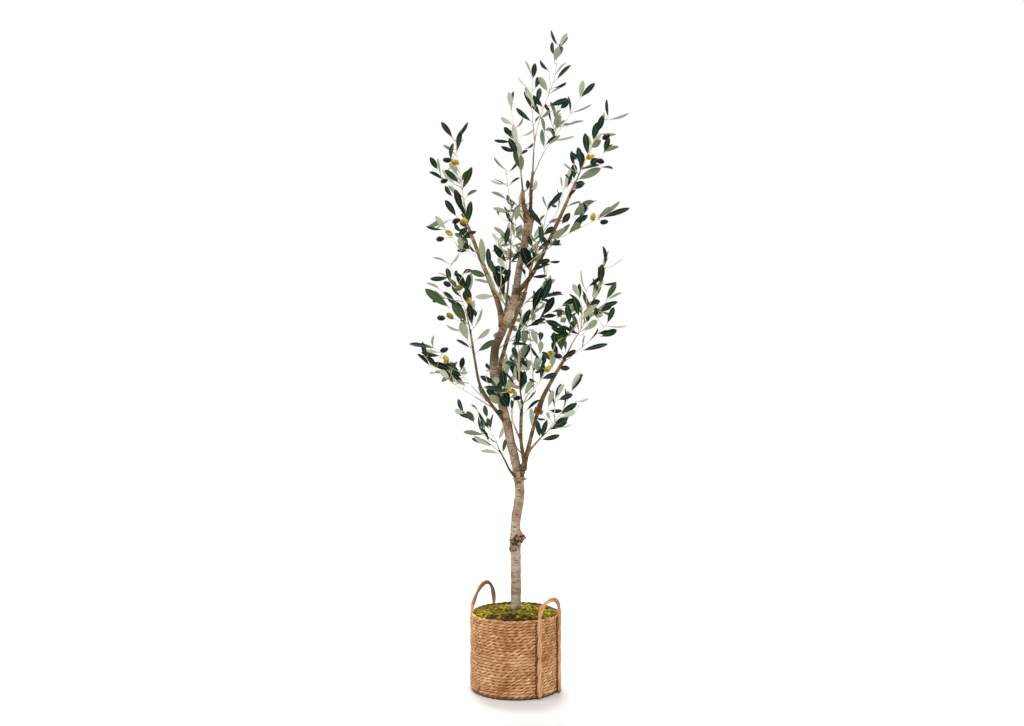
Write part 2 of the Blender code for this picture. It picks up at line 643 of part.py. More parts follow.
def leaf_pose(dice, twig, share, pair, side):
    """Root, direction, upper side and length of one leaf."""
    axis = (twig.at(min(1.0, share + 0.05)) - twig.at(max(0.0, share - 0.05))).normalized()
    across = axis.orthogonal().normalized()
    turn = math.pi * side + math.pi / 2 * pair + dice.uniform(-LEAF_TURN, LEAF_TURN)
    lean = math.radians(dice.uniform(*(PAIR_LEAN if pair >= 0 else TIP_LEAN)))
    outward = across * math.cos(turn) + axis.cross(across) * math.sin(turn)
    ahead = (axis * math.cos(lean) + outward * math.sin(lean)).normalized()
    up = (axis - ahead * axis.dot(ahead)).normalized()
    roll = dice.uniform(-LEAF_ROLL, LEAF_ROLL)
    up = (up * math.cos(roll) + ahead.cross(up) * math.sin(roll)).normalized()
    length = LEAF_LENGTH * dice.uniform(*LENGTH_SHARE)
    root = twig.at(share) + axis * ROOT_STAGGER * (side - 0.5) - ahead * ROOT_SINK
    return root, ahead, up, length


class Space:
    """What is already placed, to keep leaves of different masses apart."""

    def __init__(self):
        self.solids = []

    def add(self, mass, shape):
        """Remember a placed shape."""
        centre = sum(shape[0], Vector()) / len(shape[0])
        reach = max((v - centre).length for v in shape[0])
        self.solids.append((mass, centre, reach, BVHTree.FromPolygons(*shape)))

    def touches(self, shape, mass, own):
        """Whether a shape meets anything of other masses, or of its own mass."""
        centre = sum(shape[0], Vector()) / len(shape[0])
        reach = max((v - centre).length for v in shape[0])
        tree = BVHTree.FromPolygons(*shape)
        for other, middle, far, solid in self.solids:
            if (other == mass) != own or (middle - centre).length > reach + far:
                continue
            if tree.overlap(solid):
                return True
        return False


def place_leaves(space, mass, twigs):
    """Leaf shapes of a mass. A leaf that would touch something is tried again, then skipped."""
    shapes = []
    for number, twig in enumerate(twigs):
        for share, pair, side in leaf_places(twig):
            for attempt in range(LEAF_TRIES):
                dice = random.Random("%s %d %d %d %d" % (mass, number, pair, side, attempt))
                root, ahead, up, length = leaf_pose(dice, twig, share, pair, side)
                whole = leaf_shape(root, ahead, up, length, CLEAR_OF_OTHERS)
                outer = leaf_shape(root, ahead, up, length, CLEAR_OF_OWN, ROOT_END_SHARE)
                if space.touches(whole, mass, False) or space.touches(outer, mass, True):
                    continue
                shape = leaf_shape(root, ahead, up, length)
                space.add(mass, shape)
                shapes.append(shape)
                break
    return shapes


def olive_shapes(twig, share, reach_x, reach_z):
    """An olive, longest along its stalk, and the stalk that carries it."""
    start = twig.at(share)
    hang = Vector((reach_x, -OLIVE_FORWARD, reach_z))
    ahead = hang.normalized()
    centre = start + hang
    thin = STEM_TIP_RADIUS * 0.8
    stalk = tube_shape([start, centre], [thin, thin], TWIG_SIDES)
    across = ahead.orthogonal().normalized()
    other = ahead.cross(across)
    verts = []
    for angle in (-OLIVE_RING_ANGLE, 0, OLIVE_RING_ANGLE):
        along = math.sin(math.radians(angle)) * OLIVE_LENGTH / 2
        radius = math.cos(math.radians(angle)) * OLIVE_WIDTH / 2
        for k in range(OLIVE_SIDES):
            turn = math.tau * k / OLIVE_SIDES
            around = across * math.cos(turn) + other * math.sin(turn)
            verts.append(centre + around * radius + ahead * along)
    faces = tube_faces(3, OLIVE_SIDES)
    for cap, end in ((faces[0], -1), (faces[1], 1)):
        tip = len(verts)
        verts.append(centre + ahead * OLIVE_LENGTH / 2 * end)
        faces += [(a, b, tip) for a, b in zip(cap, cap[1:] + cap[:1])]
    return (verts, faces[2:]), stalk


def build_crown(limbs):
    """Every mass of foliage: stem, side twigs, leaves and olives, joined into one solid each."""
    space = Space()
    for name, limb in limbs.items():
        space.add(name, limb.shape())
    grown = {}
    for name, parent, height, guides, sides, _ in MASSES:
        grown[name] = grow_twigs(limbs, parent, height, guides, sides)
        for twig in grown[name]:
            space.add(name, twig.shape())
    fruit = {}
    for name, _, _, _, _, olives in MASSES:
        fruit[name] = []
        for number, share, reach_x, reach_z in olives:
            for shape in olive_shapes(grown[name][number], share, reach_x, reach_z):
                fruit[name].append(shape)
                space.add(name, shape)
    count = 0
    for name, parent, _, _, _, _ in MASSES:
        twigs = grown[name]
        leaves = place_leaves(space, name, twigs)
        count += len(leaves)
        stem = add_mesh(name, *twigs[0].shape(), LEAF)
        cut_clear(stem, [add_mesh("tool", *limbs[parent].shape(GAP), LEAF)])
        others = [twig.shape() for twig in twigs[1:]] + fruit[name] + leaves
        fuse(stem, [add_mesh("part", *shape, LEAF) for shape in others])
    print("leaves:", count)


build_basket()
build_filling()
build_moss()
for handle in HANDLES:
    build_handle(*handle)
LIMBS = {}
build_trunk(LIMBS)
for bough in BOUGHS:
    build_bough(LIMBS, *bough)
build_crown(LIMBS)
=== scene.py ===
# %% [markdown]
# # An artificial olive tree in a rope basket
# The plain solids already say how big each piece is and where it stands. This lesson gives them
# their looks: twisted rope, straps, moss, bark and leaves. Everything is in metres with Z up, and
# -Y is the front. The solids come first, as a fixed frame that nothing here changes.

# %% The fixed frame
import json
from collections import namedtuple
from math import acos, cos, exp, hypot, pi, radians, sin, sqrt, tau
from random import Random

import bmesh
import bpy
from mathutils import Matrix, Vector
from mathutils.bvhtree import BVHTree
from mathutils.kdtree import KDTree
from mathutils.noise import noise

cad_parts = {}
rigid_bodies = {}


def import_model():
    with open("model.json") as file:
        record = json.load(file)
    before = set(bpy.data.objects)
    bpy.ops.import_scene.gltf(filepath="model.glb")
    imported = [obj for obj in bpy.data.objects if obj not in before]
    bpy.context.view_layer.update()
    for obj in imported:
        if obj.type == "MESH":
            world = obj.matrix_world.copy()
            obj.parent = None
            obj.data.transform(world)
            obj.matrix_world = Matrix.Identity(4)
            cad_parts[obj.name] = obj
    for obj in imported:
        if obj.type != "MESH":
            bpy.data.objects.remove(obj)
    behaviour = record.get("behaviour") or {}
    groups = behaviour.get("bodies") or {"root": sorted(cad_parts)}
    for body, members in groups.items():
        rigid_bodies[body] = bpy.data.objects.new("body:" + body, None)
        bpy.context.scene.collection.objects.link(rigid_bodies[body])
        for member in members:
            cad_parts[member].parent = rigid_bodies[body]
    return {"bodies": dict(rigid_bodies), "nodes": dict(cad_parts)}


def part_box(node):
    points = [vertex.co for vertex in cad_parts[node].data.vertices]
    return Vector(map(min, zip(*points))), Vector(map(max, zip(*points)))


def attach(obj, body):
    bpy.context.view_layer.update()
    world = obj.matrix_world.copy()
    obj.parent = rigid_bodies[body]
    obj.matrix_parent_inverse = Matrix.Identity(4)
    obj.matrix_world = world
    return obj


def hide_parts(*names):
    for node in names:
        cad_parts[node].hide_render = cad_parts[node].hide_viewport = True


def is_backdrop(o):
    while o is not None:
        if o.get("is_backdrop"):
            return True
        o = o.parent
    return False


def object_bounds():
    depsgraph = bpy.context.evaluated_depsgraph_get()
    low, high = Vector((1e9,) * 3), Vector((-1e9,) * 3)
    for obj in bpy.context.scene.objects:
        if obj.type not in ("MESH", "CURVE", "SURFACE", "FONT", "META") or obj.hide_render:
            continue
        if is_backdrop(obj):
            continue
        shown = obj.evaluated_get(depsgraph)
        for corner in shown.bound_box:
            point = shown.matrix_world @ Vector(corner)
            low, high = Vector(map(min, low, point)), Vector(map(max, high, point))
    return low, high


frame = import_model()
cad_low, cad_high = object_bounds()
BODY = next(iter(frame["bodies"]))
print("nodes:", len(frame["nodes"]), "body:", BODY)

# %% [markdown]
# ## The camera
# A tall thing is pictured from far away and level, so that its trunk stays straight. The lens is
# worked out from the image's width and the pixels that one metre covers at one metre's distance.

# %% The camera
IMAGE_WIDTH = 1024
IMAGE_HEIGHT = 726
FOCAL_PIXELS = 1129.0
SENSOR_WIDTH = 36.0
CAMERA = Vector((-0.0113, -3.65, 1.05))


def link(title, data):
    made = bpy.data.objects.new(title, data)
    bpy.context.scene.collection.objects.link(made)
    return made


lens = bpy.data.cameras.new("camera")
lens.sensor_width = SENSOR_WIDTH
lens.lens = FOCAL_PIXELS / IMAGE_WIDTH * SENSOR_WIDTH
camera = link("camera", lens)
camera.location = CAMERA
camera.rotation_euler = (radians(90), 0.0, 0.0)
bpy.context.scene.camera = camera
print("lens: %.2f mm" % lens.lens)

# %% [markdown]
# ## Nodes written as sums
# Materials and Geometry Nodes are both trees of nodes with sockets. One method adds any node, and
# one small class wraps a socket: a sum or a product of wrapped sockets adds its own Math node.

# %% A socket that can be added and multiplied


class Value:
    """An output socket. A sum, difference, product or quotient of it adds a Math node."""

    def __init__(self, nodes, socket):
        self.nodes = nodes
        self.socket = socket

    def maths(self, operation, *others):
        return self.nodes.maths(operation, self, *others)

    __add__ = __radd__ = lambda self, other: self.maths("ADD", other)
    __mul__ = __rmul__ = lambda self, other: self.maths("MULTIPLY", other)
    __sub__ = lambda self, other: self.maths("SUBTRACT", other)
    __rsub__ = lambda self, other: self.nodes.maths("SUBTRACT", other, self)
    __truediv__ = lambda self, other: self.maths("DIVIDE", other)


class Nodes:
    """A node tree. Any node is added by its type, its settings, and what goes into its sockets."""

    def __init__(self, tree):
        self.tree = tree

    def node(self, kind, settings=None, sockets=None, output=0):
        made = self.tree.nodes.new(kind)
        for key, value in (settings or {}).items():
            if key == "stops":
                self.set_stops(made.color_ramp, value)
            else:
                setattr(made, key, value)
        for key, value in (sockets or {}).items():
            self.fill(made.inputs[key], value)
        return Value(self, made.outputs[output])

    def fill(self, socket, value):
        """Link a value to a socket, or set a constant on it."""
        if isinstance(value, Value):
            self.tree.links.new(value.socket, socket)
        else:
            socket.default_value = value

    def set_stops(self, ramp, stops):
        while len(ramp.elements) < len(stops):
            ramp.elements.new(1.0)
        for element, (place, colour) in zip(ramp.elements, stops):
            element.position = place
            element.color = colour

    def maths(self, operation, *terms):
        return self.node("ShaderNodeMath", {"operation": operation}, dict(enumerate(terms)))

    def vectors(self, operation, *terms, output=0):
        return self.node("ShaderNodeVectorMath", {"operation": operation}, dict(enumerate(terms)),
                         output)

    def mapped(self, value, low, high, new_low=0.0, new_high=1.0):
        """A value moved from one range to another, and kept inside it."""
        return self.node("ShaderNodeMapRange", {"clamp": True},
                         {0: value, 1: low, 2: high, 3: new_low, 4: new_high})

    def stretched(self, vector, x, y, z):
        return self.vectors("MULTIPLY", vector, (x, y, z))

    def parts(self, vector):
        first = self.node("ShaderNodeSeparateXYZ", None, {0: vector})
        return [Value(self, socket) for socket in first.socket.node.outputs]

    def from_axis(self, vector):
        return self.vectors("LENGTH", self.stretched(vector, 1.0, 1.0, 0.0), output="Value")

    def noise(self, vector, scale, detail=2.0, roughness=0.5):
        """Soft random blotches between 0 and 1."""
        sockets = {"Vector": vector, "Scale": scale, "Detail": detail, "Roughness": roughness}
        return self.node("ShaderNodeTexNoise", None, sockets)


# %% A finish
# how much light falls on a surface that faces the camera, and the mirror share of plain finishes
LIGHT = 1.5
SHEEN = 0.2


def paint(red, green, blue, light=LIGHT):
    """The base colour that looks like this on a screen, from 0 to 255, in so much light."""
    parts = [part / 255 for part in (red, green, blue)]
    parts = [p / 12.92 if p <= 0.04045 else ((p + 0.055) / 1.055) ** 2.4 for p in parts]
    return tuple(part / light for part in parts) + (1.0,)


class Finish(Nodes):
    """A Principled material. What is the same all over sits on the shader's own sockets."""

    def __init__(self, title, colour, roughness, sheen=SHEEN, **constants):
        self.material = bpy.data.materials.new(title)
        self.material.use_nodes = True
        super().__init__(self.material.node_tree)
        self.shader = self.tree.nodes["Principled BSDF"]
        self.drive("Base Color", colour)
        self.drive("Roughness", roughness)
        self.drive("Specular IOR Level", sheen)
        for key, value in constants.items():
            self.drive(key.replace("_", " ").title(), value)
        self.material.diffuse_color = colour

    def drive(self, socket, value):
        """Set one of the shader's sockets, or let a value change it over the surface."""
        self.fill(self.shader.inputs[socket], value)

    def place(self):
        return self.node("ShaderNodeTexCoord", None, None, "Object")

    def stored(self, title, output="Vector"):
        """What a mesh stores at each corner under a name."""
        return self.node("ShaderNodeAttribute", {"attribute_name": title}, None, output)

    def amount(self, title):
        return self.stored(title, "Fac")

    def ramp(self, factor, *stops):
        return self.node("ShaderNodeValToRGB", {"stops": stops}, {"Fac": factor})

    def mix(self, factor, first, second):
        made = self.tree.nodes.new("ShaderNodeMix")
        made.data_type = "RGBA"
        found = {socket.name: socket for socket in made.inputs if socket.enabled}
        for key, value in (("Factor", factor), ("A", first), ("B", second)):
            self.fill(found[key], value)
        return Value(self, next(socket for socket in made.outputs if socket.enabled))

    def relief(self, height, strength, distance):
        sockets = {"Height": height, "Strength": strength, "Distance": distance}
        self.drive("Normal", self.node("ShaderNodeBump", None, sockets))


def mottled_finish(title, colour, roughness, scale, detail, first, second, strength, relief=0.001):
    """A finish that blends two colours in grains of one size, which are also its relief."""
    made = Finish(title, colour, roughness)
    grains = made.noise(made.place(), scale, detail)
    made.drive("Base Color", made.mix(grains, first, second))
    made.relief(grains, strength, relief)
    return made.material


def plain_finish(title, colour, roughness, scale, detail, strength, distance, **constants):
    """A finish of one colour whose surface is uneven at one scale."""
    made = Finish(title, colour, roughness, **constants)
    made.relief(made.noise(made.place(), scale, detail), strength, distance)
    return made.material


# %% [markdown]
# ## Floor and light
# The tree stands on a plain light grey floor under a white sky. A soft lamp above and behind draws
# a short shadow at the front right, a wide one in front fills in the shape, and a weak one
# brightens the left edges. A sun with a wide angle is such a lamp, and it lights the whole floor.

# %% Floor, sky and lamps
FLOOR_REACH = 15.0
SKY_STRENGTH = 1.0
# each lamp: where its light comes from, strength, and width in degrees
LAMPS = [
    ("key", (-0.05, 0.40, 0.90), 3.1, 18),
    ("fill", (0.30, -0.75, 0.60), 1.9, 60),
    ("side", (-0.90, -0.25, 0.35), 1.5, 50),
]

sheet = bpy.data.meshes.new("floor")
corners = [(x * FLOOR_REACH, y * FLOOR_REACH, 0.0) for x, y in ((-1, -1), (1, -1), (1, 1), (-1, 1))]
sheet.from_pydata(corners, [], [(0, 1, 2, 3)])
sheet.materials.append(plain_finish("studio_floor", paint(194, 192, 190, 1.0), 0.9,
                                    40.0, 2.0, 0.02, 0.001))
link("floor", sheet)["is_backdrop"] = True

sky = bpy.data.worlds.new("sky")
sky.use_nodes = True
sky.node_tree.nodes["Background"].inputs["Color"].default_value = (1.0, 1.0, 1.0, 1.0)
sky.node_tree.nodes["Background"].inputs["Strength"].default_value = SKY_STRENGTH
bpy.context.scene.world = sky
bpy.context.scene.view_settings.view_transform = "Standard"

for title, source, strength, width in LAMPS:
    lamp = bpy.data.lights.new(title, "SUN")
    lamp.energy = strength
    lamp.angle = radians(width)
    link(title, lamp).rotation_euler = Vector(source).to_track_quat("Z", "Y").to_euler()
print("floor and light are in place")

# %% [markdown]
# ## Geometry Nodes as a recipe
# Rope rows, twists and tufts repeat by a rule, which is what Geometry Nodes are for. A recipe is
# one such tree with named sizes. It is put on a plain mesh as a modifier, its sizes are set, and
# what it grows is taken off as an ordinary mesh.

# %% A recipe
SOCKET_KINDS = {int: "NodeSocketInt", float: "NodeSocketFloat",
                bpy.types.Material: "NodeSocketMaterial"}


class Recipe(Nodes):
    """A Geometry Nodes tree whose named inputs take their kinds from the values given."""

    def __init__(self, title, **values):
        super().__init__(bpy.data.node_groups.new(title, "GeometryNodeTree"))
        interface = self.tree.interface
        interface.new_socket("Geometry", in_out="INPUT", socket_type="NodeSocketGeometry")
        self.keys = {}
        for key, value in values.items():
            kind = SOCKET_KINDS[type(value)]
            item = interface.new_socket(key, in_out="INPUT", socket_type=kind)
            self.keys[item.identifier] = value
        interface.new_socket("Geometry", in_out="OUTPUT", socket_type="NodeSocketGeometry")
        self.source = self.tree.nodes.new("NodeGroupInput")

    def size(self, key):
        """One of the recipe's named inputs; Geometry is the mesh that it is put on."""
        return Value(self, self.source.outputs[key])

    def vector(self, x, y, z):
        return self.node("ShaderNodeCombineXYZ", None, {0: x, 1: y, 2: z})

    def place(self):
        return self.node("GeometryNodeInputPosition")

    def moved(self, geometry, place):
        return self.node("GeometryNodeSetPosition", None, {"Geometry": geometry, "Position": place})

    def real(self, geometry):
        """Geometry whose copies are meshes of their own."""
        return self.node("GeometryNodeRealizeInstances", None, {0: geometry})

    def circle(self, points, radius):
        return self.node("GeometryNodeCurvePrimitiveCircle", {"mode": "RADIUS"},
                         {"Resolution": points, "Radius": radius})

    def turns(self, points):
        """How far round a circle of so many points each point is."""
        return self.node("GeometryNodeInputIndex") * (tau / points)

    def line(self):
        return self.node("GeometryNodeMeshToCurve", None, {0: self.size("Geometry")})

    def swept(self, curve, section, caps=False):
        return self.node("GeometryNodeCurveToMesh", None,
                         {"Curve": curve, "Profile Curve": section, "Fill Caps": caps})

    def captured(self, geometry, value):
        """Geometry that carries a number, and the number as it arrives further down."""
        made = self.tree.nodes.new("GeometryNodeCaptureAttribute")
        made.capture_items.new("FLOAT", "value")
        self.fill(made.inputs[0], geometry)
        self.fill(made.inputs[1], value)
        return Value(self, made.outputs[0]), Value(self, made.outputs[1])

    def stored(self, geometry, title, value, kind="FLOAT_VECTOR"):
        """Geometry that remembers a value at each point, for a finish to read."""
        return self.node("GeometryNodeStoreNamedAttribute", {"data_type": kind, "domain": "POINT"},
                         {"Geometry": geometry, "Name": title, "Value": value})

    def dress(self, geometry):
        return self.node("GeometryNodeSetMaterial", None,
                         {"Geometry": geometry, "Material": self.size("Finish")})

    def grow(self, title, base, *grown):
        """Put the recipe on a base, let it grow, and take the result off as an object."""
        joined = self.node("GeometryNodeJoinGeometry")
        for geometry in grown:
            self.fill(joined.socket.node.inputs[0], geometry)
        smooth = self.node("GeometryNodeSetShadeSmooth", None, {"Geometry": self.real(joined)})
        sink = self.tree.nodes.new("NodeGroupOutput")
        self.fill(sink.inputs[0], self.dress(smooth))
        modifier = base.modifiers.new("recipe", "NODES")
        modifier.node_group = self.tree
        for key, value in self.keys.items():
            modifier[key] = value
        graph = bpy.context.evaluated_depsgraph_get()
        mesh = bpy.data.meshes.new_from_object(base.evaluated_get(graph))
        bpy.data.objects.remove(base, do_unlink=True)
        return link(title, mesh)


def show(piece, slot, *nodes):
    """Hang a piece on the body and let it stand for its solids. `slot` is not used."""
    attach(piece, BODY)
    if nodes:
        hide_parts(*nodes)
    count = sum(len(face.vertices) - 2 for face in piece.data.polygons)
    print("%s: %d triangles, for %s" % (piece.name, count, ", ".join(nodes) or "no solid"))


# %% [markdown]
# ## Rope
# The basket is coiled from thick two-ply rope of dried sea grass. Each ply is a bundle of flat
# straws, so the colour runs in streaks along it. The valley between the plies is painted shade.
# The mesh stores where a point lies along and round the rope, and the streaks are stretched noise.

# %% The finish of rope and strap
REDDISH_STRAW = paint(176, 98, 58)


def straw_finish(title, streak, shady, *colours):
    """Dried grass whose streaks follow the stored place along and round a strand."""
    pale, middle, dark, shade_tone = [paint(*colour) for colour in colours]
    made = Finish(title, middle, 0.72)
    along = made.stored("strand")
    straws = made.noise(made.stretched(along, streak, 5.0, 5.0), 1.0, 3.0, 0.6)
    bundles = made.noise(made.stretched(along, 30.0, 0.9, 0.9), 1.0, 1.0)
    patches = made.noise(made.place(), 13.0, 2.0)
    tone = made.mapped(straws * 0.9 + bundles * 0.35 + patches * 0.2 - 0.22, 0.37, 0.65)
    ramp = made.ramp(tone, (0.0, dark), (0.34, middle), (0.60, middle), (0.90, pale))
    red = made.noise(made.stretched(along, 18.0, 2.0, 2.0), 1.0, 1.0)
    toned = made.mix(made.mapped(red, 0.58, 0.72, 0.0, 0.45), ramp, REDDISH_STRAW)
    _, y, z = made.parts(made.place())
    # painted shade: darker in the valley between the plies, at the foot just above the floor, and where
    # `shady` says
    shade = made.amount("valley") + made.mapped(z, 0.004, 0.012, 0.95, 0.0) + shady(made, y, z)
    made.drive("Base Color", made.mix(shade, toned, shade_tone))
    made.drive("Roughness", made.mapped(straws, 0.3, 0.7, 0.62, 0.85))
    made.relief(straws + bundles * 0.5, 0.55, 0.0008)
    return made.material


def painted_handle_shade(made, y, z):
    """Painted shade: handles are browner at the back and in the back part of their arches."""
    arch = made.mapped(z, 0.25, 0.275) * made.mapped(y, -0.11, -0.06, 0.0, 0.45)
    return made.mapped(y, 0.05, 0.13, 0.0, 0.30) + arch


def painted_far_rim_shade(made, y, z):
    """Painted shade: the far rim is dark inside."""
    return made.mapped(z, 0.238, 0.246) * made.mapped(y, 0.03, 0.09, 0.0, 0.85)


# each finish's pale, middle and dark straw, and the colour of its painted shade, as between the plies
rope_finish = straw_finish("rope", 26.0, painted_far_rim_shade,
                           (255, 216, 166), (190, 130, 76), (106, 56, 18), (80, 42, 18))
strap_finish = straw_finish("strap", 22.0, painted_handle_shade,
                            (240, 200, 156), (208, 152, 104), (140, 84, 44), (92, 54, 26))
# a dark cord that stands for the shadow beside each strap leg: painted shadow
strap_shadow_finish = plain_finish("stitch", paint(104, 58, 30), 0.8, 600.0, 2.0, 0.4, 0.0006)
print("rope and strap finishes are made")

# %% [markdown]
# ## The basket's wall
# A coil of rope climbs from foot to rim, 26 rows high. Each row can be a ring, because the slope of
# one row is too small to see. The section of a rope with two plies is like a peanut, which turns as
# it goes along: that makes the slanting grain. The recipe is a ladder of rings, a tilt that grows
# along each ring, and a peanut that is swept round.

# %% The coiled wall
ROWS = 26
ROPE_LOBE = 0.0053
ROPE_BULGE = 0.0044
ROPE_WAIST = 0.0009
ROPE_FLATNESS = 0.80
ROPE_TURNS = 21.0
ROPE_STATIONS = 270
ROPE_SECTION_POINTS = 12
FOOT_ROUND = 0.014
ROW_WOBBLE = 0.0009
# how much of the wobble goes into a row's width and into its height
WOBBLE_OUT = 10.0
WOBBLE_UP = 12.0

_, basket_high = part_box("basket")
BASKET_RADIUS = basket_high.x
BASKET_HEIGHT = basket_high.z
ROPE_RING = BASKET_RADIUS - ROPE_LOBE * ROPE_FLATNESS
ROW_STEP = (BASKET_HEIGHT - 2 * ROPE_LOBE) / (ROWS - 1)

wall = Recipe("coiled_wall", Rows=ROWS, Ring=ROPE_RING, Bulge=ROPE_BULGE, Waist=ROPE_WAIST,
              Turns=ROPE_TURNS, Stations=ROPE_STATIONS, Flatness=ROPE_FLATNESS,
              Wobble=ROW_WOBBLE, Seed=3, Finish=rope_finish)
radius = wall.size("Ring")
ladder = wall.node("GeometryNodeMeshLine", {"mode": "OFFSET"}, {
    "Count": wall.size("Rows"), "Start Location": (0.0, 0.0, ROPE_LOBE),
    "Offset": (0.0, 0.0, ROW_STEP)})
rings = wall.real(wall.node("GeometryNodeInstanceOnPoints", None, {
    "Points": ladder, "Instance": wall.circle(wall.size("Stations"), radius),
    "Rotation": (0.0, 0.0, radians(90))}))
place = wall.place()
x, y, z = wall.parts(place)
row = ((z - ROPE_LOBE) / ROW_STEP).maths("ROUND")
chance = wall.node("FunctionNodeRandomValue", {"data_type": "FLOAT"},
                   {"ID": row, "Seed": wall.size("Seed")}, 1)
# the foot is rounded, and no row is quite round or level
below = wall.mapped(z, 0.0, FOOT_ROUND, FOOT_ROUND, 0.0)
inset = FOOT_ROUND - (FOOT_ROUND ** 2 - below * below).maths("SQRT")
waves = wall.noise(place, 16.0, 2.0) - 0.5
rise = wall.noise(wall.stretched(place, 1.0, 1.0, 0.4), 11.0, 1.0) - 0.5
shrink = 1.0 - inset / radius + waves * wall.size("Wobble") * WOBBLE_OUT
rise = rise * wall.mapped(z, ROPE_LOBE, 0.05) * wall.size("Wobble") * WOBBLE_UP
rings = wall.moved(rings, wall.vector(x * shrink, y * shrink, z + rise))
# the plies turn along each ring, from a different start in each row
share = wall.node("GeometryNodeSplineParameter")
tilt = share * wall.size("Turns") * -tau + chance * tau
rings = wall.node("GeometryNodeSetCurveTilt", None, {"Curve": rings, "Tilt": tilt})
rings, along = wall.captured(rings, share * radius * tau + chance * 3.0)
# the section of two plies side by side
turn = wall.turns(ROPE_SECTION_POINTS)
reach = (turn * 2).maths("COSINE") * wall.size("Waist") + wall.size("Bulge")
corner = wall.vector(turn.maths("COSINE") * reach, turn.maths("SINE") * reach, 0.0)
section = wall.moved(wall.circle(ROPE_SECTION_POINTS, 1.0), corner)
section, round_rope = wall.captured(section, turn)
rope = wall.swept(rings, section)
across = round_rope.maths("COSINE")
rope = wall.stored(rope, "strand", wall.vector(along, across, round_rope.maths("SINE")))
# how deep a point lies in the valley between the plies, for the painted shade there
valley = wall.mapped(across.maths("ABSOLUTE"), 0.42, 0.05, 0.0, 0.36)
rope = wall.stored(rope, "valley", valley, "FLOAT")
# the rope is pressed flat against the wall
x, y, z = wall.parts(wall.place())
away = (x * x + y * y).maths("SQRT")
flat = (radius + (away - radius) * wall.size("Flatness")) / away
rope = wall.moved(rope, wall.vector(x * flat, y * flat, z))
show(wall.grow("basket_rope", link("base", bpy.data.meshes.new("base")), rope), "rope", "basket")

# %% [markdown]
# ## The basket's lining and floor
# Light must not shine between the rows, and a basket has a bottom. A thin turned cup in the middle
# of the wall closes both. Its underside has the rings of a coil that starts in the middle.

# %% The lining
LINING_INNER = 0.0004
LINING_THICK = 0.0012
LINING_TOP = BASKET_HEIGHT - ROPE_LOBE
LINING_SIDES = 96
LINING_UNDERSIDE = 0.0006


def turned_point(radius, turn, height):
    """The point at a distance from the Z axis, a turn round it, and a height."""
    return radius * cos(turn), radius * sin(turn), height


def ring_of(sides, radius, height):
    """Points of a ring round Z, or the one point on the axis."""
    count = sides if radius > 0 else 1
    return [turned_point(radius, tau * k / count, height) for k in range(count)]


def outward_mesh(title, work):
    """The mesh of a finished bmesh, with its faces turned outwards."""
    bmesh.ops.recalc_face_normals(work, faces=work.faces)
    mesh = bpy.data.meshes.new(title)
    work.to_mesh(mesh)
    work.free()
    return mesh


def ring_mesh(title, rings, finish):
    """A closed mesh through rings of points round Z. Its ends are single points, or else the last
    ring joins the first."""
    work = bmesh.new()
    rings = [[work.verts.new(point) for point in ring] for ring in rings]
    sides = max(len(ring) for ring in rings)
    back = rings[:1] if len(rings[0]) > 1 else []
    for low, high in zip(rings, rings[1:] + back):
        for k in range(sides):
            corners = [low[k % len(low)], low[(k + 1) % len(low)],
                       high[(k + 1) % len(high)], high[k % len(high)]]
            work.faces.new(dict.fromkeys(corners))
    mesh = outward_mesh(title, work)
    mesh.shade_smooth()
    mesh.materials.append(finish)
    return mesh


# the lining's dark brown stands for the shade between the rows and inside the wall: painted shade
lining_finish = Finish("lining", paint(72, 42, 22), 0.9)
coils = (lining_finish.from_axis(lining_finish.place()) * (tau / ROW_STEP)).maths("SINE")
mottle = lining_finish.noise(lining_finish.place(), 90.0, 3.0)
lining_finish.drive("Base Color", lining_finish.mix(mottle, paint(48, 28, 14), paint(96, 58, 32)))
lining_finish.relief(coils + mottle, 0.5, 0.001)

middle = ROPE_RING + LINING_INNER
inside = middle - LINING_THICK
foot_top = LINING_UNDERSIDE + LINING_THICK
outline = [(0.0, LINING_UNDERSIDE), (middle - 0.0095, LINING_UNDERSIDE), (middle - 0.0040, 0.0050),
           (middle - 0.0012, 0.0105), (middle, 0.0170), (middle, LINING_TOP), (inside, LINING_TOP),
           (inside, 0.0170), (middle - 0.0100, foot_top), (0.0, foot_top)]
rings = [ring_of(LINING_SIDES, radius, height) for radius, height in outline]
mesh = ring_mesh("basket_lining", rings, lining_finish.material)
mesh.set_sharp_from_angle(angle=radians(50))
show(link("basket_lining", mesh), "rope")

# %% [markdown]
# ## The handles
# Each handle is two thick straw strands, twisted slowly round each other and pressed flat, up the
# wall and over in an arch. So two copies of its line are pushed aside by a sine and out by a
# cosine, half a turn apart.

# %% The twisted handles
STRAP_WIDTH = 0.0172
STRAP_THICK = 0.007
STRAP_GAP = 0.0003
STRAP_FOOT = 0.004
# piece, angle of each foot round the basket in degrees, rise of the middle line above the rim, lean
HANDLES = [
    ("handle_front", -59.9, -21.0, 0.057, 1.00),
    ("handle_back", 162.0, 118.7, 0.072, 0.45),
]
ARCH_FULLNESS = 0.85
LEG_STEPS = 60
ARCH_STEPS = 48
TWIST_PITCH = 0.125
TWIST_STRANDS = 2
TWIST_STEP = 0.0022
STRAND_RADIUS = 0.0048
STRAND_SIDES = 9
TWIST_DEPTH = 0.0011
ARCH_NARROWING = 0.70
ARCH_NARROWING_REACH = 0.02


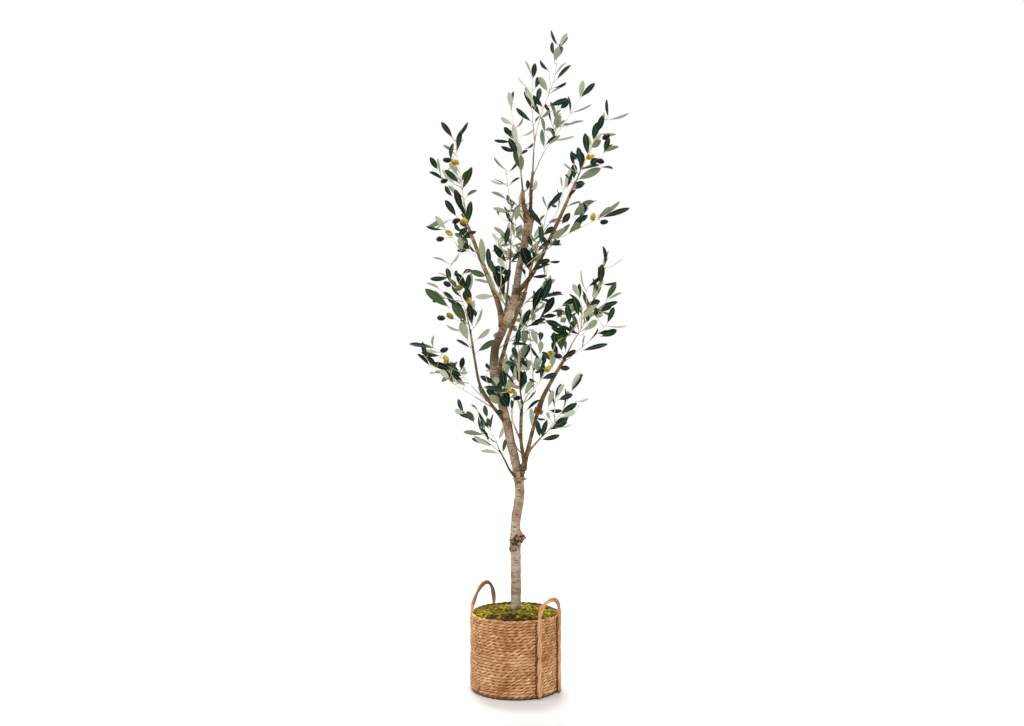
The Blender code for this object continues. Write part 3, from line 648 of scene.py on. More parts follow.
def handle_line(foot_a, foot_b, rise, lean):
    """Points of the strap's middle line: up one leg, over the arch, and down the other."""
    radius = BASKET_RADIUS + STRAP_GAP + STRAP_THICK / 2
    leg = [STRAP_FOOT + (BASKET_HEIGHT - STRAP_FOOT) * i / LEG_STEPS for i in range(LEG_STEPS)]
    stations = [(foot_a, height) for height in leg]
    for i in range(ARCH_STEPS + 1):
        turn = pi * i / ARCH_STEPS
        share = ((1 - cos(turn)) / 2) ** lean
        height = BASKET_HEIGHT + rise * sin(turn) ** ARCH_FULLNESS
        stations.append((foot_a + (foot_b - foot_a) * share, height))
    stations += [(foot_b, height) for height in reversed(leg)]
    return [turned_point(radius, radians(angle), height) for angle, height in stations]


def line_object(*lines):
    edges = []
    for line in lines:
        start = edges[-1][1] + 1 if edges else 0
        edges += [(start + i, start + i + 1) for i in range(len(line) - 1)]
    mesh = bpy.data.meshes.new("line")
    mesh.from_pydata([point for line in lines for point in line], edges, [])
    return link("line", mesh)


def twisted_strap(title, points):
    recipe = Recipe("twist", Pitch=TWIST_PITCH, Strand=STRAND_RADIUS,
                    Swing=STRAP_WIDTH / 2 - STRAND_RADIUS, Depth=TWIST_DEPTH,
                    Narrow=ARCH_NARROWING, Finish=strap_finish)
    line = recipe.node("GeometryNodeResampleCurve", {"mode": "LENGTH"},
                       {"Curve": recipe.line(), "Length": TWIST_STEP})
    along = recipe.node("GeometryNodeSplineParameter", None, None, "Length")
    place = recipe.place()
    outward = recipe.vectors("NORMALIZE", recipe.stretched(place, 1.0, 1.0, 0.0))
    ahead = recipe.node("GeometryNodeInputTangent")
    sideways = recipe.vectors("CROSS_PRODUCT", ahead, outward)
    narrow = recipe.mapped(recipe.parts(place)[2], BASKET_HEIGHT,
                           BASKET_HEIGHT + ARCH_NARROWING_REACH, 1.0, recipe.size("Narrow"))
    strands = []
    for number in range(TWIST_STRANDS):
        phase = along / recipe.size("Pitch") * tau + tau * number / TWIST_STRANDS
        swing = phase.maths("SINE") * recipe.size("Swing") * narrow
        depth = phase.maths("COSINE") * recipe.size("Depth")
        aside = recipe.vectors("MULTIPLY", sideways, recipe.vector(swing, swing, swing))
        out = recipe.vectors("MULTIPLY", outward, recipe.vector(depth, depth, depth))
        strand = recipe.node("GeometryNodeSetPosition", None,
                             {"Geometry": line, "Offset": recipe.vectors("ADD", aside, out)})
        thick = recipe.noise(recipe.vector(along, number * 3.0, 0.0), 40.0, 1.0) * 0.5 + 0.78
        strand = recipe.node("GeometryNodeSetCurveRadius", None,
                             {"Curve": strand, "Radius": thick})
        strand, length = recipe.captured(strand, along + number * 0.7)
        ring, turn = recipe.captured(recipe.circle(STRAND_SIDES, recipe.size("Strand")),
                                     recipe.turns(STRAND_SIDES))
        tube = recipe.swept(strand, ring, True)
        where = recipe.vector(length, turn.maths("COSINE"), turn.maths("SINE"))
        tube = recipe.stored(tube, "strand", where)
        strands.append(recipe.stored(tube, "valley", 0.0, "FLOAT"))
    return recipe.grow(title, line_object(points), *strands)


for handle, *numbers in HANDLES:
    show(twisted_strap(handle + "_twist", handle_line(*numbers)), "strap", handle)

# %% The painted shadow lines
# the painted shadow line beside each leg of the front handle: its side round the basket in degrees
SHADOW_LINE_FEET = (-64.2, -25.8)
SHADOW_LINE_RADIUS = 0.0016
SHADOW_LINE_STEPS = 60
SHADOW_LINE_SIDES = 7
SHADOW_LINE_MARGIN = 0.004
SHADOW_LINE_WAVE = 0.006

# a thin dark cord along the side of each leg, as painted shadow
stitches = Recipe("stitches", Radius=SHADOW_LINE_RADIUS, Finish=strap_shadow_finish)
ring = stitches.circle(SHADOW_LINE_SIDES, stitches.size("Radius"))
thread = stitches.swept(stitches.line(), ring, True)
lines = []
for foot in SHADOW_LINE_FEET:
    line = []
    for i in range(SHADOW_LINE_STEPS):
        height = (STRAP_FOOT + SHADOW_LINE_MARGIN
                  + (BASKET_HEIGHT - STRAP_FOOT - 2 * SHADOW_LINE_MARGIN) * i / (SHADOW_LINE_STEPS - 1))
        turn = radians(foot) + SHADOW_LINE_WAVE * sin(i * 0.9)
        line.append(turned_point(BASKET_RADIUS, turn, height))
    lines.append(line)
show(stitches.grow("handle_front_stitches", line_object(*lines), thread), "strap")

# %% [markdown]
# ## The moss
# Preserved moss is a mat of curly threads over a lumpy mound. A smooth mound looks like felt, so
# the mat is real threads: one small bent blade is scattered over the mound, laid down at random,
# and takes one of four plain finishes by its place.

# %% The mound of moss
MOUND_RINGS = 30
MOUND_SIDES = 110
MOUND_EDGE_TOP = 0.239
MOUND_MIDDLE_TOP = 0.253
MOUND_SETTLED = 0.002
MOUND_LUMP = 0.0034
MOUND_RADIUS = ROPE_RING - LINING_THICK - 0.0008
MOUND_FOOT = 0.206
MOUND_HOLE = 0.0150
MOSS_TINTS = [("moss_yellow", paint(200, 190, 46)), ("moss_green", paint(132, 136, 20)),
              ("moss_brown", paint(142, 90, 28)), ("moss_dark", paint(62, 46, 8))]


def mound_height(x, y):
    away = hypot(x, y)
    share = min(1.0, max(0.0, (MOUND_RADIUS - away) / (MOUND_RADIUS - MOUND_HOLE)))
    lumps = noise(Vector((x * 38, y * 38, 1.3)))
    lumps += noise(Vector((x * 90, y * 90, 7.7))) * 0.5
    return (MOUND_EDGE_TOP + (MOUND_MIDDLE_TOP - MOUND_EDGE_TOP) * sin(share * pi / 2)
            + lumps * MOUND_LUMP - MOUND_SETTLED)


moss_finishes = [plain_finish(*tint, 0.9, 700.0, 2.0, 0.4, 0.0005) for tint in MOSS_TINTS]
rings = []
for i in range(MOUND_RINGS + 1):
    radius = MOUND_RADIUS + (MOUND_HOLE - MOUND_RADIUS) * i / MOUND_RINGS
    rings.append([(x, y, mound_height(x, y)) for x, y, _ in ring_of(MOUND_SIDES, radius, 0.0)])
rings += [ring_of(MOUND_SIDES, radius, MOUND_FOOT) for radius in (MOUND_HOLE, MOUND_RADIUS)]
mound = link("moss_mound", ring_mesh("moss_mound", rings, moss_finishes[3]))
show(mound, "moss", "moss")

# %% The threads of the moss
THREADS_PER_SQUARE_METRE = 105000.0
THREAD_LENGTH = 0.0150
THREAD_WIDTH = 0.0019
THREAD_ARCH = 0.0036
THREAD_MARGIN = 0.0075
THREAD_STATIONS = (0.0, 0.35, 0.7)
# the least upward part of a face that threads stand on
THREAD_FACING = 0.3


def thread_mesh():
    """One bent blade, closed, that lies along X with its middle raised."""
    verts = []
    for place in THREAD_STATIONS:
        wide = THREAD_WIDTH / 2 * (1.0 - 0.35 * place)
        lift = THREAD_ARCH * sin(place * pi)
        x = THREAD_LENGTH * (place - 0.5)
        verts += [(x, -wide, lift), (x, wide, lift), (x, 0.0, lift + wide)]
    verts.append((THREAD_LENGTH / 2, 0.0, 0.0))
    tip = len(verts) - 1
    faces = [(2, 1, 0)]
    for a in range(0, tip - 3, 3):
        b = a + 3
        faces += [(a, a + 1, b + 1, b), (a + 1, a + 2, b + 2, b + 1), (a + 2, a, b, b + 2)]
    faces += [(tip - 3, tip - 2, tip), (tip - 2, tip - 1, tip), (tip - 1, tip - 3, tip)]
    mesh = bpy.data.meshes.new("thread")
    mesh.from_pydata(verts, [], faces)
    work = bmesh.new()
    work.from_mesh(mesh)
    return outward_mesh("thread", work)


class MossRecipe(Recipe):
    """A recipe whose pieces take one of four finishes by where they lie."""

    def dress(self, geometry):
        place = self.place()
        patches = self.noise(place, 24.0, 3.0, 0.6)
        stray = self.noise(place, 95.0, 1.0) * 0.75
        # darker finishes towards the front, for the front rim's shadow on the moss: painted shade
        front = self.mapped(self.parts(place)[1], -0.13, -0.04, 0.24, 0.0)
        tone = patches + stray + front
        for material, limit in zip(moss_finishes, (0.0, 0.79, 0.90, 0.97)):
            chosen = tone.maths("GREATER_THAN", limit)
            sockets = {"Geometry": geometry, "Selection": chosen, "Material": material}
            geometry = self.node("GeometryNodeSetMaterial", None, sockets)
        return geometry


mat = MossRecipe("moss_threads", Density=THREADS_PER_SQUARE_METRE, Seed=11)
blade = link("thread", thread_mesh())
facing = mat.parts(mat.node("GeometryNodeInputNormal"))[2]
inner = mat.from_axis(mat.place()).maths("LESS_THAN", MOUND_RADIUS - THREAD_MARGIN)
scatter = mat.node("GeometryNodeDistributePointsOnFaces", {"distribute_method": "RANDOM"}, {
    "Mesh": mat.size("Geometry"), "Density": mat.size("Density"), "Seed": mat.size("Seed"),
    "Selection": facing.maths("GREATER_THAN", THREAD_FACING) * inner})
thread = mat.node("GeometryNodeObjectInfo", None, {"Object": blade}, "Geometry")
lean = mat.node("FunctionNodeRandomValue", {"data_type": "FLOAT_VECTOR"},
                {0: (-0.5, -0.55, 0.0), 1: (0.5, 0.25, tau), "Seed": 5})
grade = mat.node("FunctionNodeRandomValue", {"data_type": "FLOAT"}, {2: 0.6, 3: 1.35, "Seed": 8}, 1)
threads = mat.node("GeometryNodeInstanceOnPoints", None, {
    "Points": scatter, "Instance": thread, "Rotation": lean, "Scale": grade})
moss_threads = mat.grow("moss_threads", link("moss_base", mound.data.copy()), threads)
bpy.data.objects.remove(blade, do_unlink=True)
show(moss_threads, "moss")

# %% [markdown]
# ## The filling
# Under the moss a plug of cement holds the trunk. Nobody sees it, so its solid stays as it is and
# only gets a coarse grey-brown finish.

# %% The filling's finish
plug_finish = mottled_finish("plug", paint(132, 116, 98), 0.95, 220.0, 4.0,
                             paint(104, 90, 76), paint(164, 148, 128), 0.6)
frame["nodes"]["filling"].data.materials.clear()
frame["nodes"]["filling"].data.materials.append(plug_finish)
print("the filling keeps its solid")

# %% [markdown]
# ## The rule of growth
# Trunk, boughs and twigs are tapering tubes on smooth curves through a few guide points, and a
# branch starts on its parent's axis. The solids were made by the same rule, so it is written again
# here with the same points. Each limb keeps a coarse course, which places what grows on it, and a
# fine one that is drawn.

# %% The guide points


def metres(value):
    """A table of millimetres, with the names in it, in metres."""
    if isinstance(value, (list, tuple)):
        return [metres(part) for part in value]
    return value if isinstance(value, str) or value is None else round(value / 1000, 6)


# guide points of the trunk from foot to top: x, y, z, radius
TRUNK_GUIDES = metres([
    (0, 0, 270, 15.5), (0, 0, 400, 14.6), (-2, 0, 520, 14.2), (10, 8, 635, 13.8), (1, 6, 722, 11.8),
    (-16, 0, 790, 10), (-40, -15, 900, 9.5), (-62, -20, 1015, 9.3), (-50, -6, 1130, 9), (-6, 10, 1258, 8.6),
    (13, 6, 1370, 7.6), (40, -10, 1535, 8.2)])
# knots that swell the trunk: height, extra radius, half length
KNOTS = metres([
    (470, 4.5, 34), (690, 3.5, 22), (1012, 2, 18), (1264, 3, 20), (1520, 2.2, 18)])
# what the bark adds to the plain trunk: height, shift in x, extra radius
BARK_PROFILE = metres([
    (200, 1, 1.5), (560, 2, 1.5), (600, 4, 1.6), (680, 3, 2), (730, 0, 3.5), (780, 1, 4.5), (840, 3, 4.5),
    (940, 0, 4.5), (1020, -8.5, 4.4), (1100, -8.5, 4.2), (1150, 1, 4), (1230, 4, 3.6), (1330, 1, 3.6),
    (1380, 1.5, 3.2), (1430, 7, 3.6), (1470, 8, 6.2), (1505, 7.5, 7), (1535, 5.5, 6.5)])
# cut stubs on the trunk: height of the root on its axis, tip, radius at root and at the cut
STUBS = metres([
    (462, (28.5, -9, 492.5), 11.5, 7.8),
    (1262, (35, 0, 1282), 4.6, 3.4),
    (664, (37, -4, 677.5), 3.4, 2.2),])
# name, parent, height of the root on the parent's axis (None for its tip), radius at root and at
# tip, guide points
BOUGHS = metres([
    ("bough_leader", "trunk", 1505, 5, 3.6, [(47,-6,1540), (51,0,1610), (56,5,1670)]),
    ("bough_crown_left", "trunk", 1500, 6, 4.6, [(27,-20,1540), (21,-25,1570), (24,-30,1602)]),
    ("bough_left_high", "trunk", 1165, 5.6, 3.2, [(-58,30,1250), (-113,85,1390), (-158,125,1505)]),
    ("bough_inner", "trunk", 1185, 3.8, 2.8, [(-30,30,1240), (-20,50,1350), (-15,65,1420)]),
    ("bough_right_mid", "trunk", 985, 6.6, 5.6, [(-40,8,1080), (-6,45,1185), (34,52,1284)]),
    ("bough_right_mid_top", "bough_right_mid", 1255, 4, 2.8, [(40,70,1310), (52,78,1365), (72,70,1435)]),
    ("bough_right_high", "trunk", 1268, 5.2, 3.2, [(55,-22,1338), (118,-88,1462), (188,-135,1615)]),
    ("bough_centre", "trunk", 660, 6.8, 4.6, [(27,-8,720), (17,-32,810), (20,-65,930)]),
    ("bough_right_low", "bough_centre", 705, 6.8, 5.8, [(38,8,760), (60,35,845), (78,58,905)]),
    ("bough_right_out", "bough_right_low", 890, 4.8, 3.6, [(92,68,940), (128,98,1005), (166,120,1066)]),
    ("bough_low_right", "bough_centre", 720, 4, 3, [(43,-36,765), (60,-60,790), (78,-85,812)]),
    ("bough_left_low", "trunk", 860, 5.2, 4.4, [(-64,-38,900), (-76,-49,916), (-89,-60,934)]),
    ("bough_left_mid", "bough_left_low", None, 4.2, 3.2,
     [(-114,-84,985), (-128,-108,1060), (-142,-130,1155)]),
    ("bough_low_left", "trunk", 672, 3.6, 2.8, [(-18,-18,705), (-34,-32,738), (-52,-46,772)]),
])
# Each mass of foliage: name, parent, height of its root (None for the parent's tip), guide points
# of its stem, side twigs as (place in thousandths of the stem, guide points)
MASSES = metres([
    ("mass_crown_tip", "bough_leader", None, [(62,8,1765), (82,0,1850), (124,-10,1965), (136,-10,2065)],
     [(240, [(52,-35,1870), (55,-60,1950)])]),
    ("mass_crown_right", "bough_leader", 1648, [(95,30,1740), (158,70,1835), (215,100,1930)],
     [(500, [(134,90,1850), (140,100,1905)])]),
    ("mass_crown_left", "bough_crown_left", None, [(13,-52,1690), (-3,-75,1785), (-15,-85,1855)],
     [(350, [(-25,-80,1715), (-50,-90,1745)])]),
    ("mass_left_pale", "bough_inner", None, [(-15,80,1535), (-24,95,1630), (-35,100,1700)],
     [(350, [(-50,110,1535), (-65,130,1570)])]),
    ("mass_upper_left", "bough_left_high", None, [(-173,135,1595), (-188,143,1700), (-205,150,1805)],
     [(450, [(-230,170,1670), (-255,190,1715)]), (60, [(-205,155,1535), (-248,180,1530)]),
     (140, [(-153,100,1555), (-142,90,1598)])]),
    ("mass_right_tip", "bough_right_high", None, [(217,-145,1682), (242,-152,1738), (275,-160,1805)],
     [(220, [(260,-170,1675), (280,-180,1730)]), (120, [(182,-150,1658), (176,-160,1690)])]),
    ("mass_right_inner", "bough_right_mid_top", None, [(90,55,1490), (105,40,1550)],
     [(350, [(135,60,1545), (160,65,1620)])]),
    ("mass_right_arm", "bough_right_mid_top", 1412, [(120,50,1448), (178,10,1472), (270,-35,1515)],
     [(620, [(215,10,1520), (225,20,1556)])]),
    ("mass_front_high", "trunk", 1338, [(38,-45,1365), (65,-110,1383), (98,-190,1398)],
     [(380, [(34,-130,1389), (24,-190,1404)])]),
    ("mass_middle_right", "trunk", 1092, [(-18,16,1125), (58,70,1180), (170,130,1250)],
     [(380, [(75,90,1240), (110,100,1290)]), (750, [(168,140,1205), (195,150,1180)])]),
    ("mass_right_out_tip", "bough_right_out", None, [(190,130,1115), (250,155,1220), (295,165,1370)],
     [(350, [(222,130,1245), (200,120,1295)]), (500, [(305,180,1255), (340,190,1290)])]),
    ("mass_right_out_low", "bough_right_out", 1045, [(202,98,1086), (250,87,1128), (315,80,1190)],
     [(420, [(222,60,1140), (180,40,1140)])]),
    ("mass_centre_top", "bough_centre", None, [(12,-82,990), (10,-100,1085), (4,-110,1160)], []),
    ("mass_centre_right", "bough_centre", 908, [(40,-100,952), (79,-140,998), (110,-190,1065)],
     [(420, [(51,-160,1050), (44,-220,1109)])]),
    ("mass_trunk_front", "trunk", 935, [(-60,-60,952), (-84,-110,982), (-95,-160,1013)],
     [(340, [(-32,-120,959), (-10,-180,973)])]),
    ("mass_low_right", "bough_low_right", None, [(106,-102,842), (146,-120,900), (175,-130,965)],
     [(400, [(122,-140,925), (125,-150,970)]), (580, [(180,-105,892), (210,-90,925)])]),
    ("mass_low_left", "bough_low_left", None, [(-70,-58,820), (-88,-66,862), (-96,-70,905)], []),
    ("mass_low_left_out", "bough_low_left", 758, [(-86,-70,802), (-130,-88,860), (-180,-100,920)], []),
    ("mass_mid_left", "bough_left_mid", None, [(-156,-140,1212), (-182,-155,1292), (-205,-165,1360)],
     [(420, [(-208,-190,1250), (-235,-210,1280)]), (280, [(-136,-112,1250), (-115,-90,1298)]),
     (100, [(-175,-165,1180), (-200,-190,1190)])]),
    ("mass_left_out", "bough_left_low", 915, [(-137,-20,971), (-205,50,1046), (-270,110,1102)],
     [(600, [(-211,100,1011), (-255,160,1034)])]),
    ("mass_left_out_low", "bough_left_low", 902, [(-130,-98,945), (-215,-140,1002), (-295,-170,1085)], []),
    ("mass_left_inner", "trunk", 1212, [(-36,-40,1242), (-70,-100,1298), (-93,-170,1378)],
     [(380, [(-45,-120,1312), (-49,-180,1363)])]),
    ("mass_centre_back", "bough_inner", 1398, [(-36,92,1412), (-60,125,1440), (-72,150,1485)], []),
    ("mass_back_low", "trunk", 925, [(-40,50,955), (-10,150,1005), (15,240,1060)],
     [(420, [(-40,160,1020), (-71,220,1040)])]),
    ("mass_back_middle", "trunk", 1120, [(-50,45,1150), (-24,150,1209), (-10,250,1273)],
     [(420, [(14,150,1201), (51,220,1223)])]),
    ("mass_back_high", "trunk", 1355, [(16,55,1382), (40,160,1425), (66,260,1483)],
     [(420, [(0,170,1436), (-25,240,1472)])]),
    ("mass_back_right", "trunk", 1200, [(-10,75,1216), (52,155,1268), (108,240,1335)],
     [(500, [(80,140,1298), (104,165,1340)])]),
    ("mass_back_top", "trunk", 1470, [(30,50,1506), (12,130,1563), (5,220,1629)], []),
])
print("boughs:", len(BOUGHS), "masses:", len(MASSES))

# %% Courses
CURVE_FINENESS = 24


def smooth_course(guides, step):
    """Points about `step` apart on a smooth curve through the guide points."""
    ends = [guides[0] * 2 - guides[1]] + guides + [guides[-1] * 2 - guides[-2]]
    fine = []
    for a, b, c, d in zip(ends, ends[1:], ends[2:], ends[3:]):
        for i in range(CURVE_FINENESS):
            t = i / CURVE_FINENESS
            fine.append((b * 2 + (c - a) * t + (a * 2 - b * 5 + c * 4 - d) * t * t
                         + (b * 3 - a - c * 3 + d) * t ** 3) / 2)
    fine.append(guides[-1].copy())
    along = [0.0]
    for a, b in zip(fine, fine[1:]):
        along.append(along[-1] + (b - a).length)
    count = max(2, round(along[-1] / step))
    course = []
    place = 0
    for i in range(count + 1):
        target = along[-1] * i / count
        while place < len(fine) - 2 and along[place + 1] < target:
            place += 1
        span = along[place + 1] - along[place]
        course.append(fine[place].lerp(fine[place + 1], (target - along[place]) / span))
    return course


def frames(course):
    """For each point, the curve's direction and two directions across it that don't twist."""
    ahead = [(b - a).normalized()
             for a, b in zip([course[0]] + course[:-1], course[1:] + [course[-1]])]
    across = ahead[0].orthogonal().normalized()
    result = []
    for direction in ahead:
        across = (across - direction * across.dot(direction)).normalized()
        result.append((direction, across, direction.cross(across)))
    return result


def tube_faces(rings, sides):
    """Faces of a tube of so many rings of corners, with its two ends closed."""
    faces = [tuple(range(sides))[::-1], tuple(range((rings - 1) * sides, rings * sides))]
    for low in range(0, (rings - 1) * sides, sides):
        for k in range(sides):
            nxt = (k + 1) % sides
            faces.append((low + k, low + nxt, low + sides + nxt, low + sides + k))
    return faces


def turned(first, second, turn):
    """A direction between two directions at right angles, by a turn from the first."""
    return first * cos(turn) + second * sin(turn)


def round_axis(axis, turn):
    """The direction across an axis at a turn round it."""
    across = axis.orthogonal().normalized()
    return turned(across, axis.cross(across), turn)


def tube_shape(course, radii, sides):
    verts = [point + turned(u, v, tau * k / sides) * radius
             for point, radius, (_, u, v) in zip(course, radii, frames(course))
             for k in range(sides)]
    return verts, tube_faces(len(course), sides)


def course_length(course):
    return sum((b - a).length for a, b in zip(course, course[1:]))


def shares(course):
    """How far along a course each of its points is, from 0 to 1."""
    return [i / (len(course) - 1) for i in range(len(course))]


def along_course(course, share):
    place = share * (len(course) - 1)
    low = min(int(place), len(course) - 2)
    return course[low].lerp(course[low + 1], place - low)


# %% Limbs
TIP_OVERLAP = 0.003
LIMB_STEP = 0.032
TWIG_STEP = 0.045
FINE_STEP = 0.0045
TRUNK_FINE_STEP = 0.003
TRUNK_SIDES = 10
LIMB_SIDES = 7
TWIG_SIDES = 3
DRAWN_SWELL = 0.35
STEM_ROOT_RADIUS = 0.0025
STEM_TIP_RADIUS = 0.0018


def bell(away):
    """1 in the middle, falling to 0 at a distance of 1."""
    return (1 + cos(pi * away)) / 2 if away < 1 else 0.0


class Limb:
    """A tapering limb, with the coarse course of the rule and a fine one to draw."""

    def __init__(self, guides, step, sides, radii):
        self.course = smooth_course(guides, step)
        self.fine = smooth_course(guides, FINE_STEP)
        self.sides = sides
        self.root_radius, self.tip_radius = radii

    def radius(self, share):
        return self.root_radius + (self.tip_radius - self.root_radius) * share

    def shape(self):
        radii = [self.radius(share) for share in shares(self.course)]
        return tube_shape(self.course, radii, self.sides)

    def root_for(self, height):
        """Where a branch starts on the axis: at a height, or just inside the tip if that is None."""
        if height is None:
            tip = self.course[-1]
            return tip + (self.course[-2] - tip).normalized() * TIP_OVERLAP
        for a, b in zip(self.course, self.course[1:]):
            if a.z <= height <= b.z:
                return a.lerp(b, (height - a.z) / (b.z - a.z))
        return self.course[-1].copy()

    def at(self, share):
        return along_course(self.course, share)

    def axis(self, share):
        return (self.at(min(1.0, share + 0.05)) - self.at(max(0.0, share - 0.05))).normalized()


class Trunk(Limb):
    """The trunk, whose radius goes from guide to guide and swells at its knots."""

    def __init__(self):
        foot = Vector((0.0, 0.0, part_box("trunk")[0].z, 0.018))
        guides = [foot] + [Vector(guide) for guide in TRUNK_GUIDES]
        self.course, self.radii = self.drawn(guides, LIMB_STEP, 1.0)
        self.fine, self.fine_radii = self.drawn(guides, TRUNK_FINE_STEP, DRAWN_SWELL)
        self.tip_radius = TRUNK_GUIDES[-1][3]

    def drawn(self, guides, step, share):
        """Points and radii along the trunk, with a share of the knots' swelling."""
        course = smooth_course(guides, step)
        radii = [point.w + self.swell(point.z) * share for point in course]
        return [point.xyz for point in course], radii

    def swell(self, height):
        return max(extra * bell(abs(height - knot) / reach) for knot, extra, reach in KNOTS)

    def shape(self):
        return tube_shape(self.course, self.radii, TRUNK_SIDES)


limbs = {"trunk": Trunk()}
for name, parent, height, root, tip, guides in BOUGHS:
    points = [limbs[parent].root_for(height)] + [Vector(guide) for guide in guides]
    limbs[name] = Limb(points, LIMB_STEP, LIMB_SIDES, (root, tip))
twigs = {}
for name, parent, height, guides, sides in MASSES:
    grown = []
    for place, points in [(None, guides)] + sides:
        root = limbs[parent].root_for(height) if place is None else grown[0].at(place)
        points = [root] + [Vector(point) for point in points]
        grown.append(Limb(points, TWIG_STEP, TWIG_SIDES, (STEM_ROOT_RADIUS, STEM_TIP_RADIUS)))
    twigs[name] = grown
every_twig = [(name, number, twig) for name in twigs for number, twig in enumerate(twigs[name])]
print("limbs:", len(limbs), "twigs:", len(every_twig))

# %% [markdown]
# ## Bark
# Trunk and boughs are real wood: pale grey-beige below, with fine rings across and dark pores in
# short rows, browner on the boughs, darker and cracked on the knots. Rings and pores run across the
# limb, so the finish reads a stored place whose third number is the distance along the limb.

# %% The finishes of bark


def bark_finish(title, *colours):
    """Bark with patches, dark pores in short rows across, reddish and dark places, cracked knots."""
    pale, middle, dark, warm, deep, pore = [paint(*colour) for colour in colours]
    made = Finish(title, middle, 0.8)
    place = made.stored("bark")
    patches = made.noise(place, 26.0, 3.0)
    rings = made.noise(made.stretched(place, 28.0, 28.0, 240.0), 1.0, 3.0, 0.65)
    grain = made.noise(made.stretched(place, 320.0, 320.0, 60.0), 1.0, 2.0)
    pores = made.noise(made.stretched(place, 60.0, 60.0, 300.0), 1.0, 1.5)
    cracks = made.noise(made.stretched(place, 120.0, 120.0, 90.0), 1.0, 3.0, 0.6)
    tone = made.mapped(patches * 0.75 + rings * 0.45 + grain * 0.2 - 0.2, 0.30, 0.70)
    ramp = made.ramp(tone, (0.0, dark), (0.35, middle), (0.75, pale), (1.0, pale))
    blush = made.mapped(made.noise(place, 17.0, 2.0), 0.55, 0.75, 0.0, 0.45)
    toned = made.mix(made.mapped(blush + made.amount("warm"), 0.0, 1.0, 0.0, 0.95), ramp, warm)
    toned = made.mix(made.amount("shade"), toned, deep)
    specked = made.mix(made.mapped(pores, 0.60, 0.66, 0.0, 0.9), toned, pore)
    cracked = made.mapped(cracks + made.amount("knot") * 0.30, 0.68, 0.78, 0.0, 0.95)
    made.drive("Base Color", made.mix(cracked, specked, pore))
    made.drive("Roughness", made.mapped(rings, 0.3, 0.7, 0.7, 0.92))
    made.relief(rings * 0.7 + grain * 0.4 - pores * 0.5, 0.6, 0.0012)
    return made.material


# each bark's pale, middle, dark, reddish and deepest tone, and its pores
bark = bark_finish("bark", (190, 172, 149), (148, 126, 101), (98, 78, 56), (172, 108, 76),
                   (70, 54, 36), (50, 31, 17))
bough_bark = bark_finish("bough_bark", (158, 126, 84), (90, 71, 40), (48, 38, 19), (200, 136, 86),
                         (58, 42, 24), (34, 22, 13))
cut_wood = mottled_finish("cut_wood", paint(130, 62, 42), 0.7, 260.0, 3.0,
                          paint(60, 22, 18), paint(196, 112, 76), 0.5)
print("bark finishes are made")

# %% [markdown]
# ## Trunk and boughs
# The drawn limbs follow the solids' curves with many more sides, and noise pushes every corner in
# or out: broad lumps, low rings across, and deep cracks at a knot. A real relief keeps the edge of
# a limb uneven, which bumps in a finish can't do.

# %% Tubes with relief


class Pile:
    """Shapes joined into one mesh, with each face's finish and stored numbers."""

    def __init__(self):
        self.verts = []
        self.faces = []
        self.finishes = []
        self.stored = {}

    def add(self, verts, faces, finish=0, **stored):
        start = len(self.verts)
        self.verts += verts
        self.faces += [tuple(start + i for i in face) for face in faces]
        self.finishes += [finish] * len(faces) if isinstance(finish, int) else finish
        for key, values in stored.items():
            self.stored.setdefault(key, []).extend(values)

    def piece(self, title, materials, sharp_above=50):
        mesh = bpy.data.meshes.new(title)
        mesh.from_pydata(self.verts, [], self.faces)
        for material in materials:
            mesh.materials.append(material)
        mesh.polygons.foreach_set("material_index", self.finishes)
        for key, values in self.stored.items():
            if isinstance(values[0], float):
                mesh.attributes.new(key, "FLOAT", "POINT").data.foreach_set("value", values)
            else:
                parts = [part for value in values for part in value]
                layer = mesh.attributes.new(key, "FLOAT_VECTOR", "POINT")
                layer.data.foreach_set("vector", parts)
        mesh.shade_smooth()
        mesh.set_sharp_from_angle(angle=radians(sharp_above))
        return link(title, mesh)


def bark_relief(place, radius, knot):
    lumps = noise(place * 45) * radius * 0.10
    rings = noise(Vector((place.x * 40, place.y * 40, place.z * 260))) * radius * 0.028
    ridges = 0.5 - abs(noise(Vector((place.x * 130, place.y * 130, place.z * 95))))
    cracks = (ridges * 0.7 + noise(place * 170) * 0.6) * knot * radius * 0.45
    return lumps + rings + cracks


def bark_tube(pile, course, radii, sides, look, offset, cut=False):
    """A tube with relief. `look` tells how knotted, reddish, dark and raised the bark is at a point;
    `offset` sets where the pattern starts, so that no two limbs match."""
    verts = []
    stored = {"bark": [], "knot": [], "warm": [], "shade": []}
    along = offset
    last = course[0]
    for point, radius, (_, u, v) in zip(course, radii, frames(course)):
        along += (point - last).length
        last = point
        for k in range(sides):
            turn = tau * k / sides
            outward = turned(u, v, turn)
            knot, warm, shade, lump = look(point, outward, along - offset)
            place = Vector(turned_point(radius, turn, along))
            verts.append(point + outward * (radius + lump + bark_relief(place, radius, knot)))
            for key, value in zip(stored, (place, float(knot), float(warm), float(shade))):
                stored[key].append(value)
    faces = tube_faces(len(course), sides)
    pile.add(verts, faces, [0, int(cut)] + [0] * (len(faces) - 2), **stored)


# %% The trunk
TRUNK_DRAWN_SIDES = 36
STUB_DRAWN_SIDES = 18
# how cracked, reddish, dark and raised a cut stub is
STUB_LOOK = (0.8, 0.5, 0.0, 0.0)
